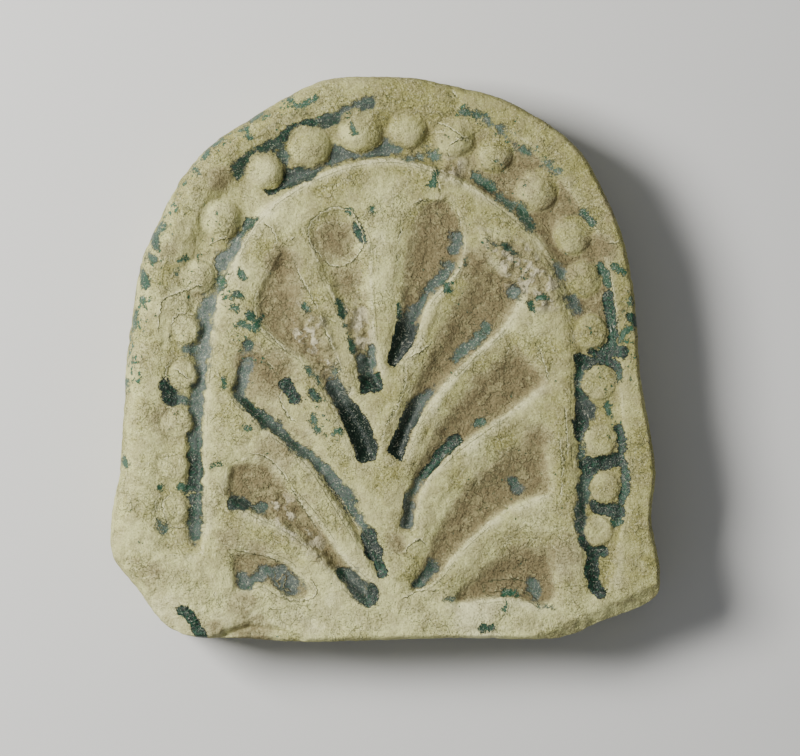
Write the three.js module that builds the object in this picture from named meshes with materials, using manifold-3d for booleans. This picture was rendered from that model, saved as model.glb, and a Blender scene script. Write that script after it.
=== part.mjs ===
// A small arch-topped pottery plaque, pressed in a mould and lying on its back.
// Inside a rolled rim runs a channel with a row of beads, and inside that a palmette stands under an arch band.
// Millimetres, +Z out of the relief, +Y towards the arch's top, origin in the middle of the flat back.
import * as THREE from 'three';
import { mergeVertices } from 'three/addons/utils/BufferGeometryUtils.js';
import Module from 'manifold-3d';

const wasm = await Module();
wasm.setup();

// Driving dimensions
const WIDTH = 75;
const HEIGHT = 77;
const THICKNESS = 13;
const CHANNEL_DEPTH = 2.5;
const SMALL_BEAD = { radius: 2.0, height: 1.3 };
const LARGE_BEAD = { radius: 2.9, height: 1.9 };

// How finely each form is cut up
const OUTLINE_STEPS = 88;
const CHANNEL_STEPS = 48;
const HOLLOW_STEPS = 12;
const BEAD_SIDES = 12;
const BEAD_RINGS = 8;

// The outline at its widest, from the left side over the arch: both lower corners are broken off
const OUTLINE = [
  [-35.0, 1.2], [-34.2, 6.7], [-33.1, 13.3], [-30.7, 19.0], [-27.7, 24.7], [-23.8, 29.2], [-19.1, 32.4],
  [-11.3, 37.0], [-7.4, 38.4], [3.8, 38.5], [7.6, 37.8], [15.8, 35.7], [22.6, 32.0], [26.7, 28.5],
  [29.8, 23.1], [32.3, 17.3], [33.7, 11.5], [34.5, 4.0], [34.9, -2.2], [36.3, -10.4], [37.0, -15.8],
  [36.4, -21.3], [37.6, -29.9], [37.0, -32.5], [28.8, -36.2], [24.7, -38.0], [8.9, -38.2], [-11.5, -38.7],
  [-19.7, -38.2], [-25.9, -38.0], [-29.6, -36.5], [-34.1, -30.9], [-37.0, -26.9], [-37.1, -21.3],
  [-36.1, -15.8], [-35.6, -9.0],
];

// The side from the flat back to the front: share of the thickness, and how far the edge is drawn in there
const SIDE = [
  [0, 0.9], [0.06, 0.3], [0.18, 0.05], [0.58, 0], [0.74, 0.25], [0.86, 0.85], [0.95, 1.7], [1, 2.8],
];

// The channel lies between the foot of the rim and the edge of the arch band, from the left foot over the top
const CHANNEL_OUTER = [
  [-30.8, -26.5], [-31.3, -17.9], [-30.3, -2.9], [-29.0, 10.8], [-26.8, 18.3], [-22.2, 25.8], [-11.5, 32.0],
  [2.1, 34.8], [9.6, 34.3], [15.8, 31.6], [21.9, 27.5], [29.2, 16.9], [31.2, 6.7], [32.3, -5.6],
  [33.1, -17.9], [30.6, -31.6],
];
const CHANNEL_INNER = [
  [-24.8, -26.5], [-24.7, -15.2], [-24.2, -2.0], [-22.7, 8.1], [-20.4, 13.5], [-17.3, 19.0], [-12.9, 22.8],
  [-6.1, 26.1], [1.4, 27.2], [7.6, 25.5], [13.0, 22.8], [19.9, 17.3], [24.0, 10.8], [25.5, 4.0],
  [25.7, -13.8], [28.0, -31.6],
];
// Share of the way across the channel, and share of its depth there
const CHANNEL_SECTION = [[0, 0], [0.1, 0.5], [0.25, 0.85], [0.45, 0.95], [0.72, 1], [0.88, 0.8], [1, 0]];
const CHANNEL_RUNOUT = 0.03;

// The beads stand along the middle of the channel: from its left end to the first, then from each to the next
const BEAD_GAPS = [
  6.0, 6.0, 5.9, 6.5, 6.2, 7.3, 8.5, 9.0, 6.8, 7.3, 6.5, 6.4, 6.1, 7.6, 7.7, 6.2, 7.3, 7.0, 7.8, 6.4, 6.1,
];
const LARGE_BEAD_FROM = 0;
const LARGE_BEAD_TO = 20;

// The palmette's hollows: each falls gently from one crest to a groove at the steep foot of the next crest.
// Its depth is given at its outer end and at the stalk, and a high bend keeps it shallow until the groove.
const STEM_LEFT = {
  gentle: [[-5.4, 20.8], [-2.4, 16.3], [-1.8, 8.1], [-1.2, 1.2], [-0.1, -4.2]],
  steep: [[-11.1, 18.2], [-9.1, 13.3], [-6.6, 7.8], [-4.7, 1.9], [-3.1, -4.5]],
  depth: [1.0, 2.6],
  bend: 1.2,
};
const UPPER_LEFT = {
  gentle: [[-13.6, 14.8], [-11.5, 10.5], [-8.8, 3.6], [-5.4, -4.0], [-1.2, -10.4], [-1.3, -13.3]],
  steep: [[-14.2, 14.6], [-17.3, 8.3], [-16.7, 4.2], [-10.9, -0.4], [-6.8, -6.7], [-3.6, -13.8]],
  depth: [2.0, 3.0],
  bend: 0.8,
};
const MIDDLE_LEFT = {
  gentle: [[-18.9, 2.2], [-12.9, -3.6], [-7.4, -10.4], [-3.8, -17.9], [-0.2, -28.5]],
  steep: [[-20.8, -4.5], [-16.7, -9.0], [-10.9, -13.5], [-6.1, -20.6], [-0.8, -29.8]],
  depth: [2.2, 2.6],
  bend: 2.6,
};
const LOWER_LEFT = {
  gentle: [[-21.0, -13.9], [-15.6, -13.8], [-12.6, -17.9], [-9.1, -22.0], [-5.4, -27.5], [-1.6, -31.3]],
  steep: [[-21.6, -18.6], [-17.7, -21.0], [-12.9, -23.4], [-8.1, -27.5], [-5.0, -31.3], [-2.3, -33.3]],
  depth: [2.4, 2.6],
  bend: 0.8,
};
const FOOT_LEFT = {
  gentle: [[-20.9, -26.4], [-16.7, -26.6], [-12.9, -28.1], [-10.0, -32.0]],
  steep: [[-20.5, -31.8], [-16.5, -30.7], [-14.0, -32.1], [-11.0, -32.9]],
  depth: [2.4, 2.0],
  bend: 0.8,
};
const STEM_RIGHT = {
  gentle: [[5.0, 21.5], [2.4, 18.3], [1.8, 12.8], [1.6, 7.4], [0.8, 2.6], [-0.8, -1.2]],
  steep: [[7.8, 21.6], [10.2, 18.7], [8.9, 14.2], [5.5, 7.4], [3.5, 1.9], [-0.2, -1.8]],
  depth: [1.9, 3.0],
  bend: 0.8,
};
const UPPER_RIGHT = {
  gentle: [[11.7, 14.1], [8.3, 8.1], [5.5, 1.9], [2.8, -4.9], [0.8, -13.0]],
  steep: [[19.2, 10.1], [16.5, 4.6], [11.7, 0.1], [7.6, -3.6], [3.8, -9.0], [2.5, -14.5]],
  depth: [2.1, 3.0],
  bend: 0.8,
};
const MIDDLE_RIGHT = {
  gentle: [[17.0, 3.6], [11.7, -0.8], [8.3, -4.9], [4.8, -10.4], [2.1, -17.9], [1.6, -23.2]],
  steep: [[22.3, -2.8], [17.8, -6.7], [13.7, -9.7], [9.6, -13.1], [5.5, -17.6], [4.0, -23.4]],
  depth: [2.3, 2.6],
  bend: 0.8,
};
const LOWER_RIGHT = {
  gentle: [[21.6, -9.2], [17.1, -10.0], [12.8, -13.8], [8.9, -17.9], [6.2, -23.4], [3.4, -30.8]],
  steep: [[22.9, -18.2], [17.8, -19.9], [13.0, -23.4], [9.6, -26.8], [6.9, -30.2], [4.0, -31.8]],
  depth: [2.4, 2.4],
  bend: 0.8,
};
const FOOT_RIGHT = {
  gentle: [[22.8, -24.6], [17.8, -24.0], [13.7, -26.8], [9.6, -31.4]],
  steep: [[23.7, -32.9], [20.7, -33.2], [17.6, -31.6], [9.8, -32.9]],
  depth: [2.5, 1.6],
  bend: 0.8,
};
const PALMETTE = [
  STEM_LEFT, UPPER_LEFT, MIDDLE_LEFT, LOWER_LEFT, FOOT_LEFT,
  STEM_RIGHT, UPPER_RIGHT, MIDDLE_RIGHT, LOWER_RIGHT, FOOT_RIGHT,
];
const STEEP_SLOPE = 2.0;
const END_SLOPE = 1.8;
const HOLLOW_SECTION = [0, 0.16, 0.36, 0.56, 0.74, 0.88, 1];

// The broken lower corners: a point on each break's upper edge, the way it faces, and how steeply it falls
const BREAKS = [
  { at: [30.4, -33.0], facing: [0.38, -0.92], fall: 1.1 },
  { at: [-30.6, -30.8], facing: [-0.78, -0.63], fall: 0.55 },
];
const BREAK_REACH = 30;

// Cutters stand proud of the front, and start just clear of it
const PROUD = 2;
const CLEAR = 0.04;

function spline(points, closed = false) {
  return new THREE.CatmullRomCurve3(points.map(([x, y]) => new THREE.Vector3(x, y, 0)), closed);
}

function toManifold(geometry) {
  const bare = geometry.clone();
  bare.deleteAttribute('normal');
  bare.deleteAttribute('uv');
  const merged = mergeVertices(bare, 1e-4);
  return new wasm.Manifold(new wasm.Mesh({
    numProp: 3,
    vertProperties: new Float32Array(merged.attributes.position.array),
    triVerts: new Uint32Array(merged.index.array),
  }));
}

function toGeometry(manifold) {
  const mesh = manifold.getMesh();
  const geometry = new THREE.BufferGeometry();
  geometry.setAttribute('position', new THREE.BufferAttribute(mesh.vertProperties, 3));
  geometry.setIndex(new THREE.BufferAttribute(mesh.triVerts, 1));
  geometry.computeVertexNormals();
  return geometry;
}

// A closed body through rings that run anticlockwise, seen from where they are heading, with flat ends
function loft(rings, flatten) {
  const size = rings[0].length;
  const triangles = [];
  rings.slice(1).forEach((ring, index) => {
    ring.forEach((point, i) => {
      const a = index * size + i;
      const b = index * size + ((i + 1) % size);
      triangles.push(a, b, b + size, a, b + size, a + size);
    });
  });
  const last = (rings.length - 1) * size;
  THREE.ShapeUtils.triangulateShape(flatten(rings[0]), []).forEach(([a, b, c]) => {
    triangles.push(a, c, b);
  });
  THREE.ShapeUtils.triangulateShape(flatten(rings[rings.length - 1]), []).forEach(([a, b, c]) => {
    triangles.push(last + a, last + b, last + c);
  });
  const geometry = new THREE.BufferGeometry().setFromPoints(rings.flat());
  geometry.setIndex(triangles);
  return toManifold(geometry);
}

// The blank before the relief: the outline, drawn in at each height
function blank() {
  const edge = spline(OUTLINE, true).getSpacedPoints(OUTLINE_STEPS).slice(1).reverse();
  const box = new THREE.Box3().setFromPoints(edge);
  const middle = box.getCenter(new THREE.Vector3());
  const extent = box.getSize(new THREE.Vector3());
  const fit = new THREE.Vector3(WIDTH / extent.x, HEIGHT / extent.y, 1);
  edge.forEach((point) => point.sub(middle).multiply(fit));
  const inward = edge.map((point, i) => {
    const next = edge[(i + 1) % edge.length];
    const previous = edge.at(i - 1);
    const along = next.clone().sub(previous).normalize();
    return new THREE.Vector3(-along.y, along.x, 0);
  });
  const rings = SIDE.map(([share, drawnIn]) => edge.map((point, i) => (
    point.clone().addScaledVector(inward[i], drawnIn).setZ(share * THICKNESS)
  )));
  return loft(rings, (ring) => ring);
}

// A cutter between two rails, where cut(along, across, width) is how far it goes below the front.
// Its sections stand closer together towards both ends.
function railCutter(firstRail, secondRail, steps, section, cut) {
  const first = spline(firstRail);
  const second = spline(secondRail);
  const rings = [];
  for (let step = 0; step <= steps; step += 1) {
    const along = (1 - Math.cos(Math.PI * step / steps)) / 2;
    const a = first.getPointAt(along);
    const b = second.getPointAt(along);
    const width = a.distanceTo(b);
    const floor = section.map((across) => (
      a.clone().lerp(b, across).setZ(THICKNESS + CLEAR - cut(along, across, width))
    ));
    rings.push([...floor, b.clone().setZ(THICKNESS + PROUD), a.clone().setZ(THICKNESS + PROUD)]);
  }
  const heading = first.getPointAt(0.5).clone().sub(first.getPointAt(0.4));
  const sideways = second.getPointAt(0.5).clone().sub(first.getPointAt(0.5));
  if (heading.cross(sideways).z < 0) {
    rings.reverse();
  }
  const flatten = (ring) => ring.map((point) => (
    new THREE.Vector2(Math.hypot(point.x - ring[0].x, point.y - ring[0].y), point.z)
  ));
  return loft(rings, flatten);
}

function channel() {
  const depthAt = new Map(CHANNEL_SECTION);
  const cut = (along, across) => {
    const runout = Math.min(1, along / CHANNEL_RUNOUT, (1 - along) / CHANNEL_RUNOUT);
    return CHANNEL_DEPTH * depthAt.get(across) * runout;
  };
  return railCutter(CHANNEL_OUTER, CHANNEL_INNER, CHANNEL_STEPS, [...depthAt.keys()], cut);
}

function hollow({ gentle, steep, depth, bend }) {
  const length = spline(gentle).getLength();
  const cut = (along, across, width) => {
    const floor = THREE.MathUtils.lerp(depth[0], depth[1], along) * across ** bend;
    const wall = (1 - across) * width * STEEP_SLOPE;
    const end = Math.min(along, 1 - along) * length * END_SLOPE;
    return Math.min(floor, wall, end);
  };
  return railCutter(gentle, steep, HOLLOW_STEPS, HOLLOW_SECTION, cut);
}

function beads() {
  const outer = spline(CHANNEL_OUTER);
  const inner = spline(CHANNEL_INNER);
  const middle = [];
  for (let step = 0; step <= CHANNEL_STEPS; step += 1) {
    const along = step / CHANNEL_STEPS;
    middle.push(outer.getPointAt(along).lerp(inner.getPointAt(along), 0.5));
  }
  const line = new THREE.CatmullRomCurve3(middle);
  const length = line.getLength();
  let distance = 0;
  return BEAD_GAPS.map((gap) => {
    distance += gap;
    const centre = line.getPointAt(distance / length);
    const large = THREE.MathUtils.smoothstep(centre.y, LARGE_BEAD_FROM, LARGE_BEAD_TO);
    const radius = THREE.MathUtils.lerp(SMALL_BEAD.radius, LARGE_BEAD.radius, large);
    const height = THREE.MathUtils.lerp(SMALL_BEAD.height, LARGE_BEAD.height, large);
    const bead = new THREE.SphereGeometry(radius, BEAD_SIDES, BEAD_RINGS);
    bead.rotateX(Math.PI / 2);
    bead.scale(1, 1, height / radius);
    bead.translate(centre.x, centre.y, THICKNESS - CHANNEL_DEPTH);
    return toManifold(bead);
  });
}

function breaks() {
  return BREAKS.map(({ at, facing, fall }) => {
    const block = new THREE.BoxGeometry(BREAK_REACH, BREAK_REACH, BREAK_REACH);
    block.translate(0, 0, BREAK_REACH / 2);
    block.rotateY(Math.atan(fall));
    block.rotateZ(Math.atan2(facing[1], facing[0]));
    block.translate(at[0], at[1], THICKNESS);
    return toManifold(block);
  });
}

let body = blank().subtract(channel());
beads().forEach((bead) => {
  body = body.add(bead);
});
PALMETTE.forEach((leaf) => {
  body = body.subtract(hollow(leaf));
});
breaks().forEach((block) => {
  body = body.subtract(block);
});

const crust = new THREE.MeshStandardMaterial({
  color: new THREE.Color(0.78, 0.76, 0.62),
  roughness: 0.85,
  metalness: 0,
  flatShading: true,
});
const plaque = new THREE.Mesh(toGeometry(body), crust);
plaque.name = 'plaque';

const model = new THREE.Group();
model.add(plaque);

export default model;
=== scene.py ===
import math

import bmesh
import bpy
import numpy as np
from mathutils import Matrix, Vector, noise


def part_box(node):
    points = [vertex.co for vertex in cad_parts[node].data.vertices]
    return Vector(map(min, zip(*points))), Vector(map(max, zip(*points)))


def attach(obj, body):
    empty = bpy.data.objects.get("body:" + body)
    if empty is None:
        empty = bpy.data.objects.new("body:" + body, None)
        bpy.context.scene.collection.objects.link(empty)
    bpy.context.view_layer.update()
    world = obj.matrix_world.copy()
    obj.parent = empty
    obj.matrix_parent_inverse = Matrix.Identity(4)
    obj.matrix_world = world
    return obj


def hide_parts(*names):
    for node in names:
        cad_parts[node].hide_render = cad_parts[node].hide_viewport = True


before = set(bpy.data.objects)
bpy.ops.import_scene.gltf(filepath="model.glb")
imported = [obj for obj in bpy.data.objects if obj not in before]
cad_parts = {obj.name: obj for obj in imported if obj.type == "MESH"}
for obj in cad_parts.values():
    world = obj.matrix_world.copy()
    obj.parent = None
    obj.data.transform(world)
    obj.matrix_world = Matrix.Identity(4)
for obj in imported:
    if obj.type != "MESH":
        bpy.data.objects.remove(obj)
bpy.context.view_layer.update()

scene = bpy.context.scene
MM = 0.001

# Camera.
# The plaque was photographed from straight above, on a copy stand with a long lens.
# The picture is 109 mm wide at the height of the relief, and its middle lies a little below and right of
# the plaque's.
CAMERA_HEIGHT = 800
PICTURE_WIDTH = 109.28
PICTURE_LEVEL = 10
PICTURE_MIDDLE = (2.1, -2.6)
SENSOR_WIDTH = 36
NEAREST_SEEN = 0.01

camera_data = bpy.data.cameras.new("copy_stand_camera")
camera_data.sensor_width = SENSOR_WIDTH
camera_data.lens = SENSOR_WIDTH * (CAMERA_HEIGHT - PICTURE_LEVEL) / PICTURE_WIDTH
camera_data.clip_start = NEAREST_SEEN
camera = bpy.data.objects.new("copy_stand_camera", camera_data)
camera.location = (PICTURE_MIDDLE[0] * MM, PICTURE_MIDDLE[1] * MM, CAMERA_HEIGHT * MM)
scene.collection.objects.link(camera)
scene.camera = camera

# The clay slab.
# One slab of fine clay, pressed into a mould and trimmed by hand. Its edge is rounded over towards the front,
# and it is a little uneven all the way round. The back is flat.
# The outline is the solid's own: millimetres, from the left side over the arch.
OUTLINE = [
    (-35.0, 1.2), (-34.2, 6.7), (-33.1, 13.3), (-30.7, 19.0), (-27.7, 24.7), (-23.8, 29.2), (-19.1, 32.4),
    (-11.3, 37.0), (-7.4, 38.4), (3.8, 38.5), (7.6, 37.8), (15.8, 35.7), (22.6, 32.0), (26.7, 28.5),
    (29.8, 23.1), (32.3, 17.3), (33.7, 11.5), (34.5, 4.0), (34.9, -2.2), (36.3, -10.4), (37.0, -15.8),
    (36.4, -21.3), (37.6, -29.9), (37.0, -32.5), (28.8, -36.2), (24.7, -38.0), (8.9, -38.2), (-11.5, -38.7),
    (-19.7, -38.2), (-25.9, -38.0), (-29.6, -36.5), (-34.1, -30.9), (-37.0, -26.9), (-37.1, -21.3),
    (-36.1, -15.8), (-35.6, -9.0),
]
EDGE_POINTS = 960
# How many points on each side the edge's heading is taken over
HEADING_REACH = 9
# Where the lower left corner of the mesh's square lies along the outline, from 0 to 1
LOWER_LEFT_CORNER = 0.865
FRONT_STEPS = 138
EDGE_RINGS = 9
WALL_RINGS = 7
BACK_RINGS = 2
# The edge's rounding, inwards and downwards: its least and, where it faces the rounded side, its most
EDGE_INSET = (0.7, 3.0)
EDGE_DROP = (1.4, 5.3)
ROUNDED_SIDE = (-0.94, 0.34)
# How far the wall is drawn in, from the back upwards
WALL_FOOT = [(0, 0.85), (0.06, 0.3), (0.18, 0.05), (1, 0)]
WALL_LUMPS = (3.0, 3, 5.0)
WALL_UNEVENNESS = 0.25
# Height, size, octaves and seed of the lumps along the edge, and how far it stands out from the outline
RAGGED_EDGE = [(0.16, 3.5, 3, 4.0), (0.07, 0.9, 2, 9.0)]
EDGE_STANDS_OUT = 0.1
RIM_LEVEL = 13.0
BAND_LEVEL = 12.7


def curve_through(points, count, closed=False):
    """Evenly spaced points on a smooth curve through the given ones."""
    knots = np.array(points, float)
    if closed:
        knots = np.vstack([knots[-1:], knots, knots[:2]])
    else:
        knots = np.vstack([2 * knots[0] - knots[1], knots, 2 * knots[-1] - knots[-2]])
    before, start, end, after = knots[:-3], knots[1:-2], knots[2:-1], knots[3:]
    gap_in, gap, gap_out = (
        np.sqrt(np.linalg.norm(b - a, axis=1))[:, None]
        for a, b in ((before, start), (start, end), (end, after))
    )
    leave = (start - before) / gap_in - (end - before) / (gap_in + gap) + (end - start) / gap
    arrive = (end - start) / gap - (after - start) / (gap + gap_out) + (after - end) / gap_out
    leave, arrive = leave * gap, arrive * gap
    t = np.linspace(0, 1, 24, endpoint=False)[None, :, None]
    dense = (
        (2 * t**3 - 3 * t**2 + 1) * start[:, None]
        + (t**3 - 2 * t**2 + t) * leave[:, None]
        + (3 * t**2 - 2 * t**3) * end[:, None]
        + (t**3 - t**2) * arrive[:, None]
    ).reshape(-1, 2)
    dense = np.vstack([dense, end[-1]])
    run = np.concatenate([[0], np.cumsum(np.linalg.norm(np.diff(dense, axis=0), axis=1))])
    even = np.linspace(0, run[-1], count)
    return np.column_stack([np.interp(even, run, dense[:, 0]), np.interp(even, run, dense[:, 1])])


def lumps(spots, size, octaves=2, seed=0.0):
    """Smooth noise from about -1 to 1 at each spot, with lumps of the given size in millimetres."""
    places = np.column_stack([spots / size, np.full(len(spots), seed)])
    return np.array([noise.fractal(Vector(place), 0.8, 2.0, octaves) for place in places])


def unevenness(spots, layers):
    """Lumps of several heights and sizes on top of one another."""
    return sum(high * lumps(spots, *layer) for high, *layer in layers)


plaque_low, plaque_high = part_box("plaque")
slab_size = (np.array(plaque_high) - np.array(plaque_low)) / MM
THICKNESS = slab_size[2]
slab_edge = curve_through(OUTLINE, EDGE_POINTS + 1, closed=True)[:-1]
edge_low, edge_high = slab_edge.min(0), slab_edge.max(0)
slab_edge = (slab_edge - (edge_low + edge_high) / 2) * slab_size[:2] / (edge_high - edge_low)
edge_heading = np.roll(slab_edge, -HEADING_REACH, axis=0) - np.roll(slab_edge, HEADING_REACH, axis=0)
edge_heading /= np.linalg.norm(edge_heading, axis=1)[:, None]
edge_inward = np.column_stack([edge_heading[:, 1], -edge_heading[:, 0]])

# The mesh is a square grid for the front, and rings pulled down from its border for the edge, wall and back.
slab = bmesh.new()
bmesh.ops.create_grid(slab, x_segments=2 * FRONT_STEPS, y_segments=2 * FRONT_STEPS, size=1)
border = [edge for edge in slab.edges if edge.is_boundary]
for ring in range(EDGE_RINGS + WALL_RINGS + BACK_RINGS):
    pulled = bmesh.ops.extrude_edge_only(slab, edges=border)["geom"]
    border = [part for part in pulled if isinstance(part, bmesh.types.BMEdge) and part.is_boundary]
    lowered = [part for part in pulled if isinstance(part, bmesh.types.BMVert)]
    bmesh.ops.translate(slab, verts=lowered, vec=(0, 0, -1))
back_face = bmesh.ops.contextual_create(slab, geom=border)["faces"]
for face in slab.faces:
    face.smooth = True
for face in back_face:
    face.smooth = False
bmesh.ops.recalc_face_normals(slab, faces=slab.faces)
plaque_mesh = bpy.data.meshes.new("plaque_body")
slab.to_mesh(plaque_mesh)
slab.free()

# Each vertex's place on the square says where round the edge it lies, and its ring says how far down.
square = np.zeros(len(plaque_mesh.vertices) * 3)
plaque_mesh.vertices.foreach_get("co", square)
square = square.reshape(-1, 3)
across_square, up_square = square[:, 0], square[:, 1]
vertex_ring = np.rint(-square[:, 2]).astype(int)
from_middle = np.maximum(np.abs(across_square), np.abs(up_square))
safe = np.maximum(from_middle, 1e-9)
side_x, side_y = across_square / safe, up_square / safe
round_share = np.select(
    [side_x <= -1 + 1e-6, side_y >= 1 - 1e-6, side_x >= 1 - 1e-6],
    [(side_y + 1) / 8, (side_x + 3) / 8, (5 - side_y) / 8],
    (7 - side_x) / 8,
)
edge_place = ((round_share + LOWER_LEFT_CORNER) % 1) * EDGE_POINTS
edge_index = np.arange(EDGE_POINTS + 1)


def round_the_edge(values):
    """Reads a list of values round the edge at each vertex's place on it."""
    return np.column_stack([
        np.interp(edge_place, edge_index, np.append(column, column[0])) for column in values.T
    ])


ragged = unevenness(slab_edge, RAGGED_EDGE)
slab_edge = slab_edge + edge_inward * (np.abs(ragged) - EDGE_STANDS_OUT)[:, None]
outer = round_the_edge(slab_edge)
inward = round_the_edge(edge_inward)
roundedness = np.clip(-inward @ ROUNDED_SIDE, 0, 1)
edge_inset = np.interp(roundedness, (0, 1), EDGE_INSET)
edge_drop = np.interp(roundedness, (0, 1), EDGE_DROP)
inset = outer + inward * edge_inset[:, None]
on_front = vertex_ring == 0
on_edge = (vertex_ring > 0) & (vertex_ring <= EDGE_RINGS)
on_wall = (vertex_ring > EDGE_RINGS) & (vertex_ring <= EDGE_RINGS + WALL_RINGS)
on_back = vertex_ring > EDGE_RINGS + WALL_RINGS

spots = inset * from_middle[:, None]
turn = np.clip(vertex_ring / EDGE_RINGS, 0, 1) * math.pi / 2
spots = np.where(on_front[:, None], spots, inset - inward * (edge_inset * np.sin(turn))[:, None])
rounded_off = edge_drop * (1 - np.cos(turn))
down_wall = np.clip((vertex_ring - EDGE_RINGS) / WALL_RINGS, 0, 1)
drawn_in = np.interp(1 - down_wall, *zip(*WALL_FOOT))
spots = spots + inward * np.where(on_wall | on_back, drawn_in, 0)[:, None]
shrink = np.clip((vertex_ring - EDGE_RINGS - WALL_RINGS) / (BACK_RINGS + 1), 0, 1)
spots = spots * (1 - shrink)[:, None]
top = on_front | on_edge
top_spots = spots[top]

# The channel and its beads.
# A channel runs round inside the rolled rim, and a row of beads stands in it, all pressed with the slab.
# The beads over the arch are larger. Weathering has half filled the channel on the lower left.
CHANNEL_OUTER = [
    (-30.8, -26.5), (-31.3, -17.9), (-30.3, -2.9), (-29.3, 10.8), (-27.5, 18.6), (-22.9, 26.3), (-12.0, 32.4),
    (2.1, 34.8), (9.6, 34.3), (15.8, 31.6), (21.9, 27.5), (29.2, 16.9), (31.2, 6.7), (32.3, -5.6),
    (33.1, -17.9), (30.6, -31.6),
]
CHANNEL_INNER = [
    (-24.8, -26.5), (-24.7, -15.2), (-24.2, -2.0), (-22.7, 8.1), (-20.4, 13.5), (-17.3, 19.0), (-12.9, 22.8),
    (-6.1, 26.1), (1.4, 27.2), (7.6, 25.5), (13.0, 22.8), (19.9, 17.3), (24.0, 10.8), (25.6, 4.0),
    (26.0, -13.8), (28.1, -31.6),
]
# From the left foot over the arch to the right foot: how deep the channel is, where across it the outer side
# starts to fall and over how much of its width it falls, and how steep its inner wall is
CHANNEL_DEPTH = [
    (0, 0.6), (0.2, 0.8), (0.3, 1.5), (0.38, 1.6), (0.45, 1.4), (0.55, 1.3), (0.62, 1.25), (0.7, 1.15),
    (0.76, 0.9), (0.82, 0.45), (1, 0.4),
]
CHANNEL_START = [(0, 0.55), (0.16, 0.52), (0.25, 0.05), (0.4, 0), (1, 0)]
CHANNEL_FALL = [
    (0, 0.14), (0.16, 0.15), (0.27, 0.42), (0.42, 0.5), (0.52, 0.5), (0.6, 0.3), (0.7, 0.2), (0.8, 0.12),
    (1, 0.1),
]
CHANNEL_WALL = [(0, 1.8), (0.56, 1.8), (0.63, 0.8), (0.7, 0.5), (0.77, 0.4), (0.82, 0.6), (1, 0.6)]
# Its outer side falls this deep at least, within this share of its width
CHANNEL_SHALLOW = 0.35
SHALLOW_SHARE = 0.3
# From each end it may deepen, over this length, to this depth
CHANNEL_RUNOUT = 3.0
RUNOUT_DEPTH = 1.2
# Middle of each bead, its radius, how far its top is below the rim, and how much it bulges
BEADS = [
    (-28.9, -20.6, 2.0, 0.0, 0.3), (-28.8, -14.6, 2.1, 0.05, 0.4), (-28.3, -8.7, 2.2, 0.0, 0.4),
    (-27.5, -2.2, 2.0, 0.0, 0.35), (-27.1, 4.0, 2.1, 0.0, 0.6), (-25.5, 11.1, 2.5, 0.0, 1.1),
    (-22.3, 19.0, 2.9, 0.0, 1.5), (-16.3, 25.7, 2.7, 0.0, 1.5), (-10.3, 29.0, 3.0, 0.0, 1.4),
    (-3.3, 31.1, 3.0, 0.1, 1.3), (3.2, 31.4, 2.7, 0.05, 1.2), (9.5, 30.3, 2.9, 0.0, 1.2),
    (15.1, 27.9, 2.5, 0.0, 1.1), (20.8, 22.9, 2.9, 0.0, 1.1), (25.7, 16.9, 2.6, 0.0, 0.9),
    (27.0, 10.8, 2.5, 0.05, 0.8), (28.1, 3.6, 2.3, 0.05, 0.35), (29.2, -3.3, 2.4, 0.05, 0.25),
    (29.4, -11.1, 2.3, 0.05, 0.25), (30.0, -17.5, 2.1, 0.05, 0.25), (29.2, -23.5, 2.0, 0.1, 0.2),
]
DOMED_FROM = 0.7
ROUND_BEAD = 2.2
FLAT_BEAD = 3.5
BEAD_LUMPS = 2.5
BEAD_UNEVENNESS = 0.05
BEAD_REACH = 3
BEAD_FOOT = 2.5
JOINT_SOFTNESS = 0.12
# A gap that stands for nowhere near
FAR = 9.0


def nearest_on(line, places):
    """How far each place is from a line, how far along it from 0 to 1, and 1 on its left, -1 on its right."""
    best = np.full(len(places), np.inf)
    share = np.zeros(len(places))
    side = np.ones(len(places))
    steps = np.diff(line, axis=0)
    lengths = np.linalg.norm(steps, axis=1)
    run = np.concatenate([[0], np.cumsum(lengths)])
    for start, step, length, before in zip(line[:-1], steps, lengths, run):
        offset = places - start
        part = np.clip(offset @ step / length**2, 0, 1)
        gap = np.linalg.norm(offset - part[:, None] * step, axis=1)
        closer = gap < best
        best[closer] = gap[closer]
        share[closer] = (before + part[closer] * length) / run[-1]
        turned = step[0] * offset[:, 1] - step[1] * offset[:, 0]
        side[closer] = np.sign(turned[closer])
    return best, share, side


def gap_to(line, places):
    """How far each place is from a line."""
    return nearest_on(np.array(line), places)[0]


def inside(outline, places):
    """Whether each place lies inside a closed outline."""
    x, y = places.T
    within = np.zeros(len(places), bool)
    for (x1, y1), (x2, y2) in zip(outline, np.roll(outline, -1, axis=0)):
        crosses = (y1 > y) != (y2 > y)
        within ^= crosses & (x < (x2 - x1) * (y - y1) / (y2 - y1 + 1e-12) + x1)
    return within


def near(outline, reach):
    """The front's vertices within reach of an outline's own box."""
    low, high = outline.min(0) - reach, outline.max(0) + reach
    return np.flatnonzero(((top_spots > low) & (top_spots < high)).all(1))


def eased(share):
    """Goes from 0 to 1 with a soft start and end."""
    share = np.clip(share, 0, 1)
    return share * share * (3 - 2 * share)


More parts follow.
